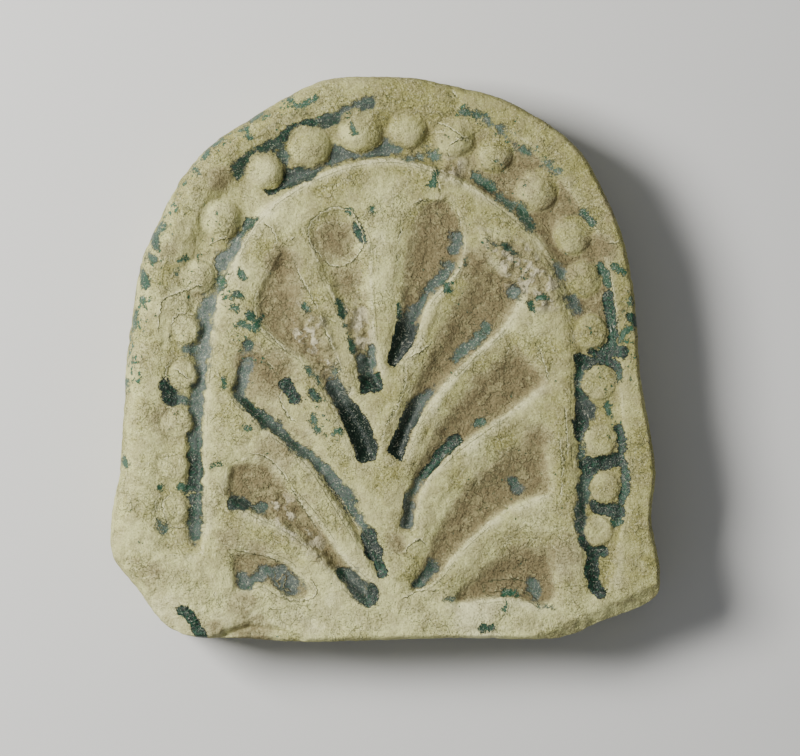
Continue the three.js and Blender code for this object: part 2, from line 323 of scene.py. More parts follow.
channel_outer = curve_through(CHANNEL_OUTER, 140)
channel_inner = curve_through(CHANNEL_INNER, 140)
from_outer, channel_share, _ = nearest_on(channel_outer, top_spots)
from_inner = gap_to(channel_inner, top_spots)
in_channel = inside(np.vstack([channel_outer, channel_inner[::-1]]), top_spots)
channel_across = from_outer / (from_outer + from_inner)
from_ends = np.minimum(
    gap_to([channel_outer[0], channel_inner[0]], top_spots),
    gap_to([channel_outer[-1], channel_inner[-1]], top_spots),
)
channel_depth, channel_start, channel_fall, channel_wall = (
    np.interp(channel_share, *zip(*along))
    for along in (CHANNEL_DEPTH, CHANNEL_START, CHANNEL_FALL, CHANNEL_WALL)
)
outer_side = channel_depth * eased((channel_across - channel_start) / channel_fall)
outer_side = np.maximum(outer_side, CHANNEL_SHALLOW * eased(channel_across / SHALLOW_SHARE))
channel_depth = np.minimum(outer_side, from_inner * channel_wall)
channel_depth = np.minimum(channel_depth, from_ends / CHANNEL_RUNOUT * RUNOUT_DEPTH)
channel_depth[~in_channel] = 0
from_shoulder = np.where(in_channel, 0, np.minimum(from_outer, from_inner))

# The front rises from the band's level to the rim's over the middle two thirds of the channel's width
towards_rim = np.clip(from_inner / np.maximum(from_outer + from_inner, 1e-6), 0, 1)
height = BAND_LEVEL + (RIM_LEVEL - BAND_LEVEL) * np.clip(towards_rim * 1.5 - 0.25, 0, 1)
height -= channel_depth
bead_gap = np.full(len(top_spots), FAR)
for bead_x, bead_y, radius, below, bulge in BEADS:
    middle = np.array([[bead_x, bead_y]])
    spread = near(middle, radius + BEAD_REACH)
    off = np.linalg.norm(top_spots[spread] - middle, axis=1)
    off *= 1 + BEAD_UNEVENNESS * lumps(top_spots[spread], BEAD_LUMPS, 2, bead_x)
    bead_gap[spread] = np.minimum(bead_gap[spread], off - radius)
    roundness = ROUND_BEAD if bulge > DOMED_FROM else FLAT_BEAD
    dome = RIM_LEVEL - below - bulge * (off / radius) ** roundness
    dome = np.where(off > radius, RIM_LEVEL - below - bulge - (off - radius) * BEAD_FOOT, dome)
    height[spread] = JOINT_SOFTNESS * np.logaddexp(height[spread] / JOINT_SOFTNESS, dome / JOINT_SOFTNESS)

# The palmette.
# Ten hollows are sunk between its crests. Each falls gently from one crest to a groove at the steep foot of
# the next. The clay under the crust is the slab's own.
# A hollow has its gentle and its steep side from the leaf's outer end to the stalk, and its depth at the
# outer end, halfway and at the stalk. Its floor falls between two shares of its width and is stained brown
# more or less. Its wall and its outer end have slopes.
PALMETTE = {
    "stem_left": {
        "gentle": [(-5.4, 20.8), (-2.4, 16.3), (-1.8, 8.1), (-1.2, 1.2), (-0.1, -4.2)],
        "steep": [(-11.1, 18.2), (-9.1, 13.3), (-6.6, 7.8), (-4.7, 1.9), (-3.1, -4.5)],
        "depth": (0.5, 0.9, 1.4), "fall": (0.0, 0.32), "wall": 0.7, "end": 0.25, "brown": 0.35,
    },
    "upper_left": {
        "gentle": [(-13.6, 14.8), (-11.5, 10.5), (-8.8, 3.6), (-5.4, -4.0), (-1.1, -10.6), (-1.0, -13.9)],
        "steep": [(-14.2, 14.6), (-17.3, 8.3), (-16.7, 4.2), (-10.9, -0.4), (-6.8, -6.7), (-3.4, -14.2)],
        "depth": (0.6, 0.85, 1.2), "fall": (0.0, 0.45), "wall": 0.85, "end": 0.9, "brown": 0.85,
    },
    "middle_left": {
        "gentle": [(-18.9, 2.2), (-12.9, -3.6), (-7.4, -10.4), (-3.8, -17.9), (-0.2, -28.5)],
        "steep": [(-20.8, -4.5), (-16.7, -9.0), (-10.9, -13.5), (-6.1, -20.6), (-0.8, -29.8)],
        "depth": (0.9, 0.9, 1.2), "fall": (0.2, 0.9), "wall": 1.4, "end": 1.5, "brown": 0.35,
    },
    "lower_left": {
        "gentle": [
            (-21.0, -13.9), (-15.6, -13.8), (-12.6, -17.9), (-9.1, -22.0), (-5.4, -27.5), (-1.6, -31.3),
        ],
        "steep": [
            (-21.6, -18.6), (-17.7, -21.0), (-12.9, -23.4), (-8.1, -27.5), (-5.0, -31.3), (-2.3, -33.3),
        ],
        "depth": (0.8, 1.0, 1.2), "fall": (0.0, 0.3), "wall": 1.4, "end": 1.2, "brown": 0.9,
    },
    "foot_left": {
        "gentle": [(-20.9, -26.4), (-16.7, -26.6), (-12.9, -28.1), (-10.0, -32.0)],
        "steep": [(-20.5, -31.8), (-16.5, -30.7), (-14.0, -32.1), (-11.0, -32.9)],
        "depth": (0.6, 0.6, 0.6), "fall": (0.0, 0.15), "wall": 1.6, "end": 1.2, "brown": 0.9,
    },
    "stem_right": {
        "gentle": [(5.0, 21.5), (2.4, 18.3), (1.8, 12.8), (1.6, 7.8), (1.2, 3.8), (0.2, -0.5)],
        "steep": [
            (8.6, 21.7), (10.3, 19.3), (10.9, 16.3), (10.6, 13.8), (9.2, 11.2), (5.9, 7.6), (5.0, 4.9),
            (4.4, 2.6), (1.4, -1.5),
        ],
        "depth": (0.7, 0.9, 0.7), "fall": (0.0, 0.5), "wall": 1.8, "end": 1.2, "brown": 1.0,
    },
    "upper_right": {
        "gentle": [(11.7, 14.1), (8.3, 8.1), (5.5, 1.9), (3.0, -4.9), (1.8, -8.8), (0.2, -12.6)],
        "steep": [
            (19.2, 10.1), (16.5, 4.6), (11.7, 0.1), (7.9, -3.9), (4.9, -8.0), (3.3, -11.8), (2.4, -14.3),
        ],
        "depth": (0.9, 1.1, 0.9), "fall": (0.0, 0.6), "wall": 1.2, "end": 1.1, "brown": 0.92,
    },
    "middle_right": {
        "gentle": [(17.0, 3.6), (11.9, -1.0), (8.7, -5.2), (5.5, -10.8), (2.8, -18.0), (1.9, -23.2)],
        "steep": [(22.3, -2.8), (17.8, -6.7), (13.6, -9.5), (9.3, -12.8), (5.3, -17.4), (3.9, -23.4)],
        "depth": (0.9, 1.0, 0.8), "fall": (0.0, 0.66), "wall": 1.8, "end": 0.6, "brown": 1.0,
    },
    "lower_right": {
        "gentle": [(21.6, -9.2), (17.1, -10.0), (12.8, -13.8), (8.9, -17.9), (6.2, -23.4), (3.4, -30.8)],
        "steep": [(22.9, -18.2), (17.8, -19.9), (13.0, -23.4), (9.6, -26.8), (6.9, -30.2), (4.0, -31.8)],
        "depth": (0.9, 1.0, 0.7), "fall": (0.0, 0.62), "wall": 1.8, "end": 0.9, "brown": 0.93,
    },
    "foot_right": {
        "gentle": [(22.8, -24.6), (17.8, -24.0), (13.7, -26.8), (9.6, -31.4)],
        "steep": [(23.7, -32.9), (20.7, -33.5), (17.2, -32.6), (9.8, -33.4)],
        "depth": (1.1, 1.0, 0.7), "fall": (0.0, 0.6), "wall": 1.8, "end": 0.7, "brown": 1.1,
    },
}
CREASE_SOFTNESS = 0.15
# A floor that falls within this share of the width leaves a crisp edge on the gentle side too
NARROW_FALL = 0.4
# The brown is full from this depth down, a little less towards the stalk, and fades by the steep side
BROWN_DEPTH = 0.65
BROWN_TO_STALK = [(0.6, 1), (1, 0.8)]
BROWN_MARGIN = 0.6

stain_and_shade = np.zeros(len(top_spots))
arris = np.full(len(top_spots), FAR)
lip = np.zeros(len(top_spots))
from_wall = np.full(len(top_spots), FAR)


def sharpen(patch, within, gap, strength):
    """Marks a wall's crisp edge: how far each place is outside it, below 0 if inside, and how sharp it is."""
    signed = np.where(within, -gap, gap)
    nearer = np.abs(signed) < np.abs(arris[patch])
    arris[patch] = np.where(nearer, signed, arris[patch])
    lip[patch] = np.where(nearer, strength, lip[patch])


whole_front = slice(None)
sharpen(whole_front, in_channel, from_inner, 0.9)
sharpen(whole_front, in_channel, from_outer, np.clip((channel_share - 0.5) * 6, 0, 0.5))
for hollow in PALMETTE.values():
    gentle_side, steep_side = curve_through(hollow["gentle"], 40), curve_through(hollow["steep"], 40)
    leaf = np.vstack([gentle_side, steep_side[::-1]])
    patch = near(leaf, 4)
    places = top_spots[patch]
    from_gentle, along_gentle, _ = nearest_on(gentle_side, places)
    from_steep, along_steep, _ = nearest_on(steep_side, places)
    from_tip = gap_to([gentle_side[0], steep_side[0]], places)
    from_stalk = gap_to([gentle_side[-1], steep_side[-1]], places)
    across = from_gentle / np.maximum(from_gentle + from_steep, 1e-6)
    along = (along_gentle + along_steep) / 2
    falls_from, falls_to = hollow["fall"]
    falling = eased((across - falls_from) / (falls_to - falls_from))
    floor = np.interp(along, (0, 0.5, 1), hollow["depth"]) * falling
    limits = [floor, from_steep * hollow["wall"], from_tip * hollow["end"], from_stalk * hollow["wall"]]
    sunk = -CREASE_SOFTNESS * np.log(sum(np.exp(-limit / CREASE_SOFTNESS) for limit in limits))
    sunk = np.maximum(sunk, 0)
    within = inside(leaf, places)
    sunk[~within] = 0
    height[patch] = np.minimum(height[patch], BAND_LEVEL - sunk)
    rim_gap = np.minimum.reduce([from_gentle, from_steep, from_tip, from_stalk])
    from_shoulder[patch] = np.minimum(from_shoulder[patch], np.where(within, 0, rim_gap))
    from_wall[patch] = np.where(within, np.minimum(from_wall[patch], from_steep), from_wall[patch])
    crisp_sides = [(from_steep, along_steep)]
    if falls_to < NARROW_FALL:
        crisp_sides.append((from_gentle, along_gentle))
    for side_gap, along_side in crisp_sides:
        sharpen(patch, within, side_gap, np.sin(along_side * math.pi).clip(0, 1) ** 0.3)
    browned = hollow["brown"] * np.clip(sunk / BROWN_DEPTH, 0, 1) * np.interp(along, *zip(*BROWN_TO_STALK))
    browned *= np.clip(from_steep / BROWN_MARGIN, 0, 1)
    stain_and_shade[patch] = np.maximum(stain_and_shade[patch], browned)

# Wear, breaks and dents.
# All crests are worn round. Both lower corners are broken off, and the crust has crumbled in five places.
# A place on the upper edge of each break, the way it faces, how steeply it falls and how rough it is
BREAKS = [
    ((29.1, -33.7), (0.38, -0.92), 0.75, 0.17),
    ((-30.2, -30.6), (-0.78, -0.63), 0.45, 0.16),
]
BREAK_LUMPS = 1.8
BREAK_SHOWS = 0.3
CRUMBLED = [
    [(13.0, 17.5), (19.5, 15.5), (23.5, 11.0), (23.5, 7.0), (20.5, 6.5), (17.0, 10.0)],
    [(-5.5, 7.0), (-2.8, 7.3), (-1.6, 2.0), (-2.4, -0.8), (-4.0, 0.2)],
    [(-11.8, 7.5), (-8.6, 6.0), (-6.4, -0.5), (-8.8, -2.2), (-12.6, 2.5)],
    [(8.5, 27.5), (11.0, 27.0), (9.8, 23.5), (7.0, 25.0)],
    [(-16.5, -17.0), (-12.5, -19.5), (-8.0, -25.5), (-6.0, -29.0), (-8.5, -28.5), (-14.5, -23.0)],
]
CRUMBLED_BORDER = 1.5
CRUMBLED_ROUGHNESS = 0.45
CRUMBLED_LUMPS = (1.3, 3, 7.0)
# Half width, depth and middle line of each dent: four along the foot and two on the rim
DENTS = [
    (0.45, 0.9, [(-21.8, -37.5), (-18.5, -36.6), (-14.0, -37.2), (-11.5, -38.2)]),
    (1.6, 0.5, [(-17.5, -35.6), (-13.0, -36.0)]),
    (0.35, 0.4, [(-23.0, -37.8), (-19.0, -37.3), (-15.0, -38.2)]),
    (0.8, 0.5, [(-10.0, -35.6), (-6.0, -36.6)]),
    (0.7, 0.35, [(9.0, 36.8), (9.9, 35.0)]),
    (1.2, 0.3, [(26.0, 25.0), (30.0, 19.0)]),
]
# Height, size, octaves and seed of the lumps all over the front
FRONT_LUMPS = [(0.12, 6.0, 2, 1.0), (0.10, 1.9, 3, 2.0)]
SMOOTHING_PASSES = 1
STAIN_PASSES = 5
CAVITY_PASSES = 14
CAVITY_DEPTH = 0.5
CREST_FALL = 0.35
CREST_ROUNDING = 0.6

height -= CREST_FALL * np.exp(-from_shoulder / CREST_ROUNDING)

# Smoothing runs on the grid, whose vertices are put in rows first
columns = np.rint((across_square[on_front] + 1) * FRONT_STEPS).astype(int)
rows = np.rint((up_square[on_front] + 1) * FRONT_STEPS).astype(int)
front_in_top = on_front[top]


def smooth_front(values, passes):
    """Evens out a value over the front's grid."""
    grid = np.zeros((2 * FRONT_STEPS + 1, 2 * FRONT_STEPS + 1))
    grid[rows, columns] = values[front_in_top]
    for _ in range(passes):
        padded = np.pad(grid, 1, mode="edge")
        grid = (padded[:-2, 1:-1] + 2 * grid + padded[2:, 1:-1]) / 4
        padded = np.pad(grid, 1, mode="edge")
        grid = (padded[1:-1, :-2] + 2 * grid + padded[1:-1, 2:]) / 4
    smoothed = values.copy()
    smoothed[front_in_top] = grid[rows, columns]
    return smoothed


def bell(gap, width):
    """1 where a gap is 0, and next to nothing at twice the width."""
    return np.exp(-((gap / width) ** 2))


height = smooth_front(height, SMOOTHING_PASSES)
stain_and_shade = smooth_front(stain_and_shade, STAIN_PASSES)
cavity = np.clip((smooth_front(height, CAVITY_PASSES) - height) / CAVITY_DEPTH, -1, 1)

height += unevenness(top_spots, FRONT_LUMPS)
crumble = np.zeros(len(top_spots))
for corners in CRUMBLED:
    gap = gap_to(corners + corners[:1], top_spots)
    gap = np.where(inside(np.array(corners), top_spots), gap, -gap)
    crumble = np.maximum(crumble, np.clip(0.5 + gap / CRUMBLED_BORDER, 0, 1))
height += crumble * CRUMBLED_ROUGHNESS * lumps(top_spots, *CRUMBLED_LUMPS)
for half_width, deep, line in DENTS:
    height -= deep * bell(gap_to(line, top_spots), half_width)

top_height = height - rounded_off[top]
broken = np.zeros(len(top_spots))
for (at_x, at_y), (face_x, face_y), fall, rough in BREAKS:
    out = (top_spots[:, 0] - at_x) * face_x + (top_spots[:, 1] - at_y) * face_y
    cut = THICKNESS - fall * out + rough * lumps(top_spots, BREAK_LUMPS, 4, at_x)
    broken = np.maximum(broken, np.clip((top_height - cut) / BREAK_SHOWS, 0, 1))
    top_height = np.minimum(top_height, cut)
top_height = np.minimum(top_height, THICKNESS)

# Below the edge the wall runs down to the back in even steps
level = np.zeros(len(spots))
level[top] = top_height
last_ring = vertex_ring == EDGE_RINGS
order = np.argsort(edge_place[last_ring])
wall_top = np.interp(
    edge_place, edge_place[last_ring][order], level[last_ring][order], period=EDGE_POINTS
)
level[on_wall] = (wall_top * (1 - down_wall))[on_wall]
wall_lumps = np.zeros(len(spots))
wall_lumps[on_wall] = lumps(spots[on_wall] + level[on_wall][:, None], *WALL_LUMPS)
spots = spots + inward * (np.abs(wall_lumps) * WALL_UNEVENNESS * np.sin(down_wall * math.pi))[:, None]

placed = np.column_stack([spots, level]) * MM
plaque_mesh.vertices.foreach_set("co", placed.ravel())
plaque_mesh.update()

# Where the glaze shows.
# The crust has flaked off in patches and shows the dark green glaze under it, mostly in the grooves.
# A patch is a stroke: its half width in millimetres, how hazy the glaze is from 0 to 1, and its middle line.
GLAZE = {
    "channel_top_left": [
        (0.55, 0.35, [(-20.0, 25.3), (-19.3, 27.0), (-18.0, 28.2), (-16.5, 28.8), (-15.2, 28.9)]),
        (0.55, 0.6, [(-15.0, 29.9), (-13.9, 28.5), (-13.7, 26.5)]),
        (0.7, 0.25, [(-13.9, 30.2), (-12.6, 31.3), (-10.9, 31.8), (-8.8, 32.1)]),
        (0.75, 0.6, [(-8.5, 32.1), (-6.8, 32.9), (-5.4, 33.7), (-3.6, 34.3), (-1.7, 34.7)]),
        (0.9, 0.1, [(-15.4, 23.6), (-14.3, 24.3), (-13.2, 25.1)]),
        (0.9, 0.5, [(-12.6, 24.7), (-11.1, 25.4), (-9.1, 26.4), (-7.4, 27.4)]),
        (0.95, 0.65, [(-6.8, 27.8), (-4.7, 28.6), (-2.7, 28.8), (0.1, 28.5)]),
        (0.5, 0.8, [(0.5, 28.6), (1.4, 28.6)]), (0.55, 0.4, [(-19.9, 16.9), (-18.9, 17.9), (-18.1, 18.7)]),
        (0.75, 1, [(-20.3, 16.0), (-21.5, 13.9), (-22.6, 12.4)]), (0.3, 0.3, [(-27.9, 13.4), (-27.1, 13.8)]),
        (0.27, 0.4, [(-28.2, 11.7), (-27.9, 12.2)]), (0.34, 0.3, [(-22.7, 11.1), (-22.3, 10.2)]),
        (0.68, 1, [(-23.3, 9.4), (-24.4, 6.4), (-24.5, 1.9), (-24.8, -0.8)]),
    ],
    "channel_left": [
        (0.45, 0.7, [(-27.1, 1.2), (-25.6, 1.6)]), (0.72, 0.8, [(-25.2, -1.5), (-25.5, -4.9), (-25.7, -8.3)]),
        (0.72, 0.6, [(-25.7, -8.6), (-25.8, -11.7)]), (0.82, 0.3, [(-25.8, -13.1), (-25.8, -17.2)]),
        (0.66, 0.35, [(-25.8, -19.0), (-25.8, -22.0)]), (0.68, 0.6, [(-26.0, -23.1), (-26.0, -24.3)]),
        (1.09, 0.15, [(-29.6, -3.7), (-29.0, -5.3)]), (0.45, 0.7, [(-28.2, -5.3), (-26.6, -5.9)]),
        (0.41, 0.1, [(-30.7, -17.5), (-30.5, -17.6)]),
        (0.41, 0.6, [(-31.1, -20.6), (-30.7, -22.3), (-30.3, -23.4)]),
        (0.34, 0.3, [(-27.7, -17.5), (-27.1, -17.6)]),
    ],
    "channel_right": [
        (0.4, 0.4, [(10.8, 33.7), (12.8, 33.0)]),
        (0.45, 0.7, [(13.9, 32.6), (15.6, 31.4), (16.7, 30.2), (17.7, 28.9)]),
        (0.3, 0.7, [(18.0, 28.7), (19.6, 28.1)]), (0.35, 0.6, [(21.4, 27.2), (22.5, 26.2), (23.8, 25.3)]),
        (0.35, 0.6, [(12.5, 25.1), (13.2, 24.3)]), (0.45, 0.3, [(13.6, 24.0), (14.5, 23.2)]),
        (0.32, 0.6, [(15.6, 22.0), (17.4, 21.0)]), (0.4, 0.45, [(18.5, 20.5), (19.3, 19.3), (20.0, 18.0)]),
        (0.48, 0.25, [(27.0, 20.1), (28.1, 18.7)]), (0.34, 0.95, [(24.0, 12.4), (24.4, 11.6)]),
        (0.55, 0.8, [(25.4, 7.8), (26.4, 7.0)]), (0.48, 0.2, [(29.6, 12.7), (30.3, 10.2)]),
        (0.68, 0.05, [(30.4, 8.6), (30.8, 6.0), (31.1, 1.9)]),
        (0.82, 0.1, [(28.4, 1.2), (30.0, 1.2), (32.4, 0.8)]), (0.82, 0.15, [(26.3, -0.4), (28.1, -0.7)]),
        (0.89, 0.1, [(29.8, -0.1), (31.2, -1.0)]), (0.48, 0.3, [(31.8, -1.5), (31.9, -2.7)]),
        (0.61, 0.3, [(26.6, -1.5), (26.6, -5.3)]), (1.23, 0.5, [(27.1, -6.6), (27.7, -7.2)]),
        (0.89, 0.15, [(26.8, -7.6), (27.0, -10.5)]), (0.52, 0.5, [(27.1, -11.9), (26.8, -13.1)]),
        (0.27, 0.3, [(30.3, -6.0), (30.5, -7.6)]), (0.68, 0.2, [(31.9, -9.7), (32.3, -12.3)]),
        (0.89, 0.15, [(27.8, -14.3), (30.0, -13.9), (32.2, -13.7)]),
        (0.82, 0.05, [(27.5, -14.6), (28.1, -15.7)]),
        (0.55, 0.15, [(32.7, -14.6), (32.9, -17.2), (32.3, -19.3)]),
        (0.6, 0.5, [(27.4, -16.0), (26.8, -19.3)]), (0.75, 0.45, [(26.7, -19.5), (26.7, -23.4)]),
        (0.89, 0.15, [(29.0, -20.1), (30.4, -20.4), (31.8, -20.9)]),
        (0.41, 0.2, [(31.1, -22.3), (32.2, -22.3)]),
        (0.82, 0.2, [(27.1, -24.5), (28.1, -26.2), (29.7, -26.2)]),
        (0.89, 0.15, [(28.3, -27.5), (28.2, -29.5)]), (0.89, 0.1, [(28.6, -30.5), (29.3, -31.6)]),
    ],
    "rim": [
        (0.27, 0.1, [(-12.9, 35.4), (-12.0, 34.4)]), (0.34, 0.1, [(-11.5, 34.4), (-10.7, 34.8)]),
        (0.34, 0.1, [(-10.3, 35.1), (-9.5, 35.4)]), (0.41, 0.3, [(-30.9, 17.3), (-30.1, 18.3)]),
        (0.55, 0.3, [(-31.5, 16.8), (-31.1, 15.2)]), (0.48, 0.4, [(-32.0, 14.1), (-31.6, 13.7)]),
        (0.48, 0.2, [(-33.0, 11.9), (-32.6, 10.0)]), (0.27, 0.2, [(-33.0, 8.1), (-32.6, 7.0)]),
        (0.22, 0.2, [(-34.4, 4.2), (-33.7, 6.4)]), (0.22, 0.2, [(-25.9, 26.0), (-25.3, 25.4)]),
        (0.22, 0.2, [(-24.8, 27.2), (-24.1, 28.3)]), (0.22, 0.2, [(-23.3, 29.1), (-22.2, 29.9)]),
        (0.27, 0.4, [(-18.4, 32.6), (-16.7, 33.3)]), (0.27, 0.3, [(-18.9, 31.3), (-18.4, 30.1)]),
        (0.2, 0.2, [(-35.6, -4.8), (-35.2, -3.0)]), (0.33, 0.3, [(-35.4, -13.4), (-35.3, -14.3)]),
        (0.36, 0.15, [(31.1, 12.7), (32.6, 11.7)]), (0.27, 0.2, [(33.4, 8.3), (33.5, 7.4)]),
        (0.55, 0.15, [(33.5, 5.7), (34.1, 4.9)]), (0.27, 0.2, [(33.1, 4.2), (32.0, 2.5)]),
        (0.7, 0.05, [(-27.6, -34.2), (-26.6, -34.9), (-25.7, -36.3), (-24.8, -37.6)]),
        (0.49, 0.1, [(13.2, -36.7), (14.5, -36.6)]),
    ],
    "arch_band": [
        (0.41, 0.2, [(-19.5, 11.7), (-19.2, 11.2)]), (0.48, 0.2, [(-20.6, 8.7), (-19.3, 8.6)]),
        (0.34, 0.2, [(-20.4, 7.0), (-20.1, 6.4)]), (0.48, 0.2, [(-18.5, 6.1), (-18.1, 5.6)]),
        (0.34, 0.3, [(-19.7, 4.8), (-17.8, 4.2)]), (0.3, 0.2, [(-1.7, 20.5), (-1.4, 19.9)]),
        (0.34, 0.1, [(7.2, 25.5), (6.4, 23.6)]), (0.25, 0.8, [(3.6, 27.3), (4.7, 27.5)]),
        (0.3, 0.7, [(5.9, 28.5), (7.3, 27.3)]), (0.41, 0.3, [(16.3, 15.4), (17.8, 14.3)]),
        (0.25, 0.8, [(14.0, 16.1), (15.0, 15.3)]), (0.25, 0.15, [(19.9, 7.6), (20.3, 6.7)]),
        (0.25, 0.15, [(20.8, 8.2), (21.9, 8.3)]), (0.55, 0.8, [(17.4, 9.4), (18.4, 9.0)]),
        (0.33, 0.1, [(-21.9, -2.9), (-21.8, -3.6)]), (0.33, 0.1, [(-18.9, -9.3), (-18.6, -9.6)]),
        (0.27, 0.1, [(-23.6, -14.6), (-22.1, -14.3)]), (0.27, 0.3, [(-4.6, 32.1), (-4.0, 30.7)]),
    ],
    "palmette_left": [
        (0.55, 0.15, [(-3.8, 17.8), (-2.9, 16.3)]), (0.27, 0.2, [(-5.1, 20.5), (-4.7, 19.9)]),
        (0.45, 0.25, [(-6.2, 7.6), (-5.7, 6.1)]), (0.22, 0.3, [(-5.3, 4.6), (-4.2, 1.1)]),
        (0.8, 0.7, [(-3.0, -0.1), (-2.4, -1.6)]), (1.09, 0.05, [(-2.5, -3.4), (-1.7, -3.6)]),
        (0.82, 0.15, [(-1.0, -2.9), (-0.9, -3.6)]), (0.55, 0.8, [(-1.7, 1.0), (-1.4, -0.4)]),
        (0.55, 0.3, [(-18.9, 1.6), (-18.4, 1.9)]), (0.6, 0.95, [(-18.9, 1.2), (-18.7, -0.8), (-19.4, -3.2)]),
        (0.6, 0.8, [(-19.8, -4.0), (-19.7, -5.1)]), (0.68, 0.3, [(-19.2, -6.1), (-16.7, -8.1)]),
        (0.75, 0.55, [(-16.2, -8.5), (-13.6, -10.7), (-12.0, -12.2)]),
        (0.55, 0.75, [(-11.1, -12.7), (-8.0, -15.3)]), (0.85, 0.65, [(-7.2, -16.3), (-5.2, -18.7)]),
        (0.68, 0.5, [(-4.6, -19.8), (-4.2, -20.8)]), (0.55, 0.8, [(-3.6, -21.4), (-2.8, -22.9)]),
        (1.09, 0.15, [(-2.3, -24.0), (-1.4, -26.4)]), (0.61, 0.05, [(-0.8, -27.6), (-0.3, -29.2)]),
        (0.82, 0.05, [(-13.6, -3.4), (-12.6, -4.5), (-12.2, -5.4)]),
        (0.55, 0.15, [(-9.9, -4.6), (-9.1, -5.2)]), (0.38, 0.3, [(-9.8, -7.8), (-9.2, -9.7)]),
        (0.27, 0.1, [(-6.5, -9.7), (-6.1, -9.8)]), (0.41, 0.6, [(-6.8, -1.8), (-6.5, -2.0)]),
        (0.25, 0.5, [(-10.8, -0.9), (-9.3, -2.6), (-8.1, -4.0)]), (1.23, 0.5, [(-6.8, -3.7), (-5.3, -5.5)]),
        (1.37, 0.1, [(-4.6, -7.1), (-3.3, -9.6), (-2.3, -12.9)]),
        (0.96, 0.35, [(-20.4, -19.7), (-18.9, -19.9)]), (0.55, 0.6, [(-17.7, -20.4), (-16.7, -20.2)]),
        (0.68, 0.3, [(-5.9, -29.2), (-5.4, -29.8)]), (1.09, 0.8, [(-4.4, -29.8), (-3.3, -31.3)]),
        (0.96, 0.05, [(-1.8, -31.7), (-1.7, -32.4)]), (0.68, 0.3, [(-3.3, -32.4), (-2.3, -33.2)]),
        (0.75, 0.6, [(-19.3, -29.8), (-19.0, -31.0)]), (0.7, 0.75, [(-18.4, -30.3), (-16.9, -29.8)]),
        (0.6, 0.8, [(-16.3, -29.0), (-15.2, -28.9)]), (1.1, 0.8, [(-14.2, -29.4), (-12.4, -30.9)]),
        (0.41, 0.1, [(-16.6, 5.7), (-17.6, 4.6)]), (0.3, 0.3, [(-10.9, 7.2), (-10.4, 6.6)]),
    ],
    "palmette_right": [
        (0.7, 0.75, [(10.1, 16.5), (9.6, 14.9)]),
        (0.65, 0.65, [(8.9, 12.8), (7.5, 10.4), (6.0, 8.6), (5.0, 7.0)]),
        (1.0, 0.7, [(4.3, 6.6), (3.3, 4.6)]), (0.41, 0.2, [(1.8, 7.0), (2.1, 5.6)]),
        (1.6, 0.05, [(3.0, 3.7), (2.6, 2.0)]), (1.35, 0.0, [(2.2, 0.9), (1.3, -0.6)]),
        (0.34, 0.3, [(11.0, 13.4), (11.0, 12.8)]), (0.41, 0.15, [(8.4, 10.1), (8.7, 9.4)]),
        (0.4, 0.6, [(13.9, 4.4), (12.8, 3.1)]), (0.55, 0.6, [(12.0, 2.3), (9.9, 0.3)]),
        (0.9, 0.6, [(5.9, -4.9), (4.9, -6.4)]), (1.15, 0.35, [(4.0, -7.4), (3.1, -9.4)]),
        (1.5, 0.05, [(2.0, -11.0), (1.7, -12.4)]), (0.82, 0.05, [(9.5, -11.3), (10.3, -12.0)]),
        (0.68, 0.1, [(8.4, -12.3), (6.6, -15.0), (5.7, -15.8)]), (0.5, 0.85, [(4.6, -16.8), (3.6, -18.6)]),
        (1.1, 0.75, [(2.9, -20.1), (2.9, -21.9)]), (0.41, 0.4, [(12.6, -8.9), (13.2, -8.7)]),
        (0.68, 0.6, [(17.6, -17.1), (18.1, -17.6)]), (0.62, 0.6, [(6.5, -28.1), (5.5, -29.5), (4.6, -30.7)]),
        (0.35, 0.1, [(16.5, -31.9), (17.6, -32.0)]), (0.25, 0.1, [(16.7, -33.3), (16.3, -34.0)]),
        (0.34, 0.6, [(8.0, -32.5), (9.1, -32.9)]), (0.55, 0.8, [(20.0, -30.7), (20.7, -32.3)]),
        (0.3, 0.6, [(21.2, -33.4), (22.7, -33.8)]),
    ],
}
GLAZE_REACH = 4.0
GLAZE_SPREAD = 0.08
# A stroke that lies deeper than this on average spreads further, but stays off the groove's sides
GROOVE_LEVEL = 0.6
GROOVE_SPREAD = 0.3
WALL_SHARE = 0.3
GROOVE_STEEPNESS = 1.8
# On the palmette's right, the glaze keeps to the hollows and this far off their steep sides
LIT_WALL = 0.2
HAZE_SOFTNESS = 0.3

glaze = np.full(len(top_spots), -GLAZE_REACH)
haze = np.zeros(len(top_spots))
haze_weight = np.full(len(top_spots), 1e-6)
breadth = np.zeros(len(top_spots))
for run, strokes in GLAZE.items():
    for half_width, hazy, line in strokes:
        stroke = np.array(line)
        patch = near(stroke, GLAZE_REACH)
        gap = gap_to(stroke, top_spots[patch])
        sunken = BAND_LEVEL - height[patch]
        if sunken[gap < half_width].mean() > GROOVE_LEVEL:
            bare = half_width + GROOVE_SPREAD - gap
            bare = np.minimum(bare, (sunken - WALL_SHARE) * GROOVE_STEEPNESS)
        else:
            bare = half_width + GLAZE_SPREAD - gap
        if run.startswith("channel"):
            bare = np.minimum(bare, bead_gap[patch])
        hollowed = from_wall[patch] < FAR
        if run == "palmette_right" and hollowed[gap < half_width].mean() > 0.5:
            bare = np.minimum(bare, np.where(hollowed, from_wall[patch] - LIT_WALL, -1))
        glaze[patch] = np.maximum(glaze[patch], bare)
        weight = np.exp(np.clip(bare, -3, 1) / HAZE_SOFTNESS)
        haze[patch] += hazy * weight
        breadth[patch] += half_width * weight
        haze_weight[patch] += weight
haze /= haze_weight
breadth /= haze_weight

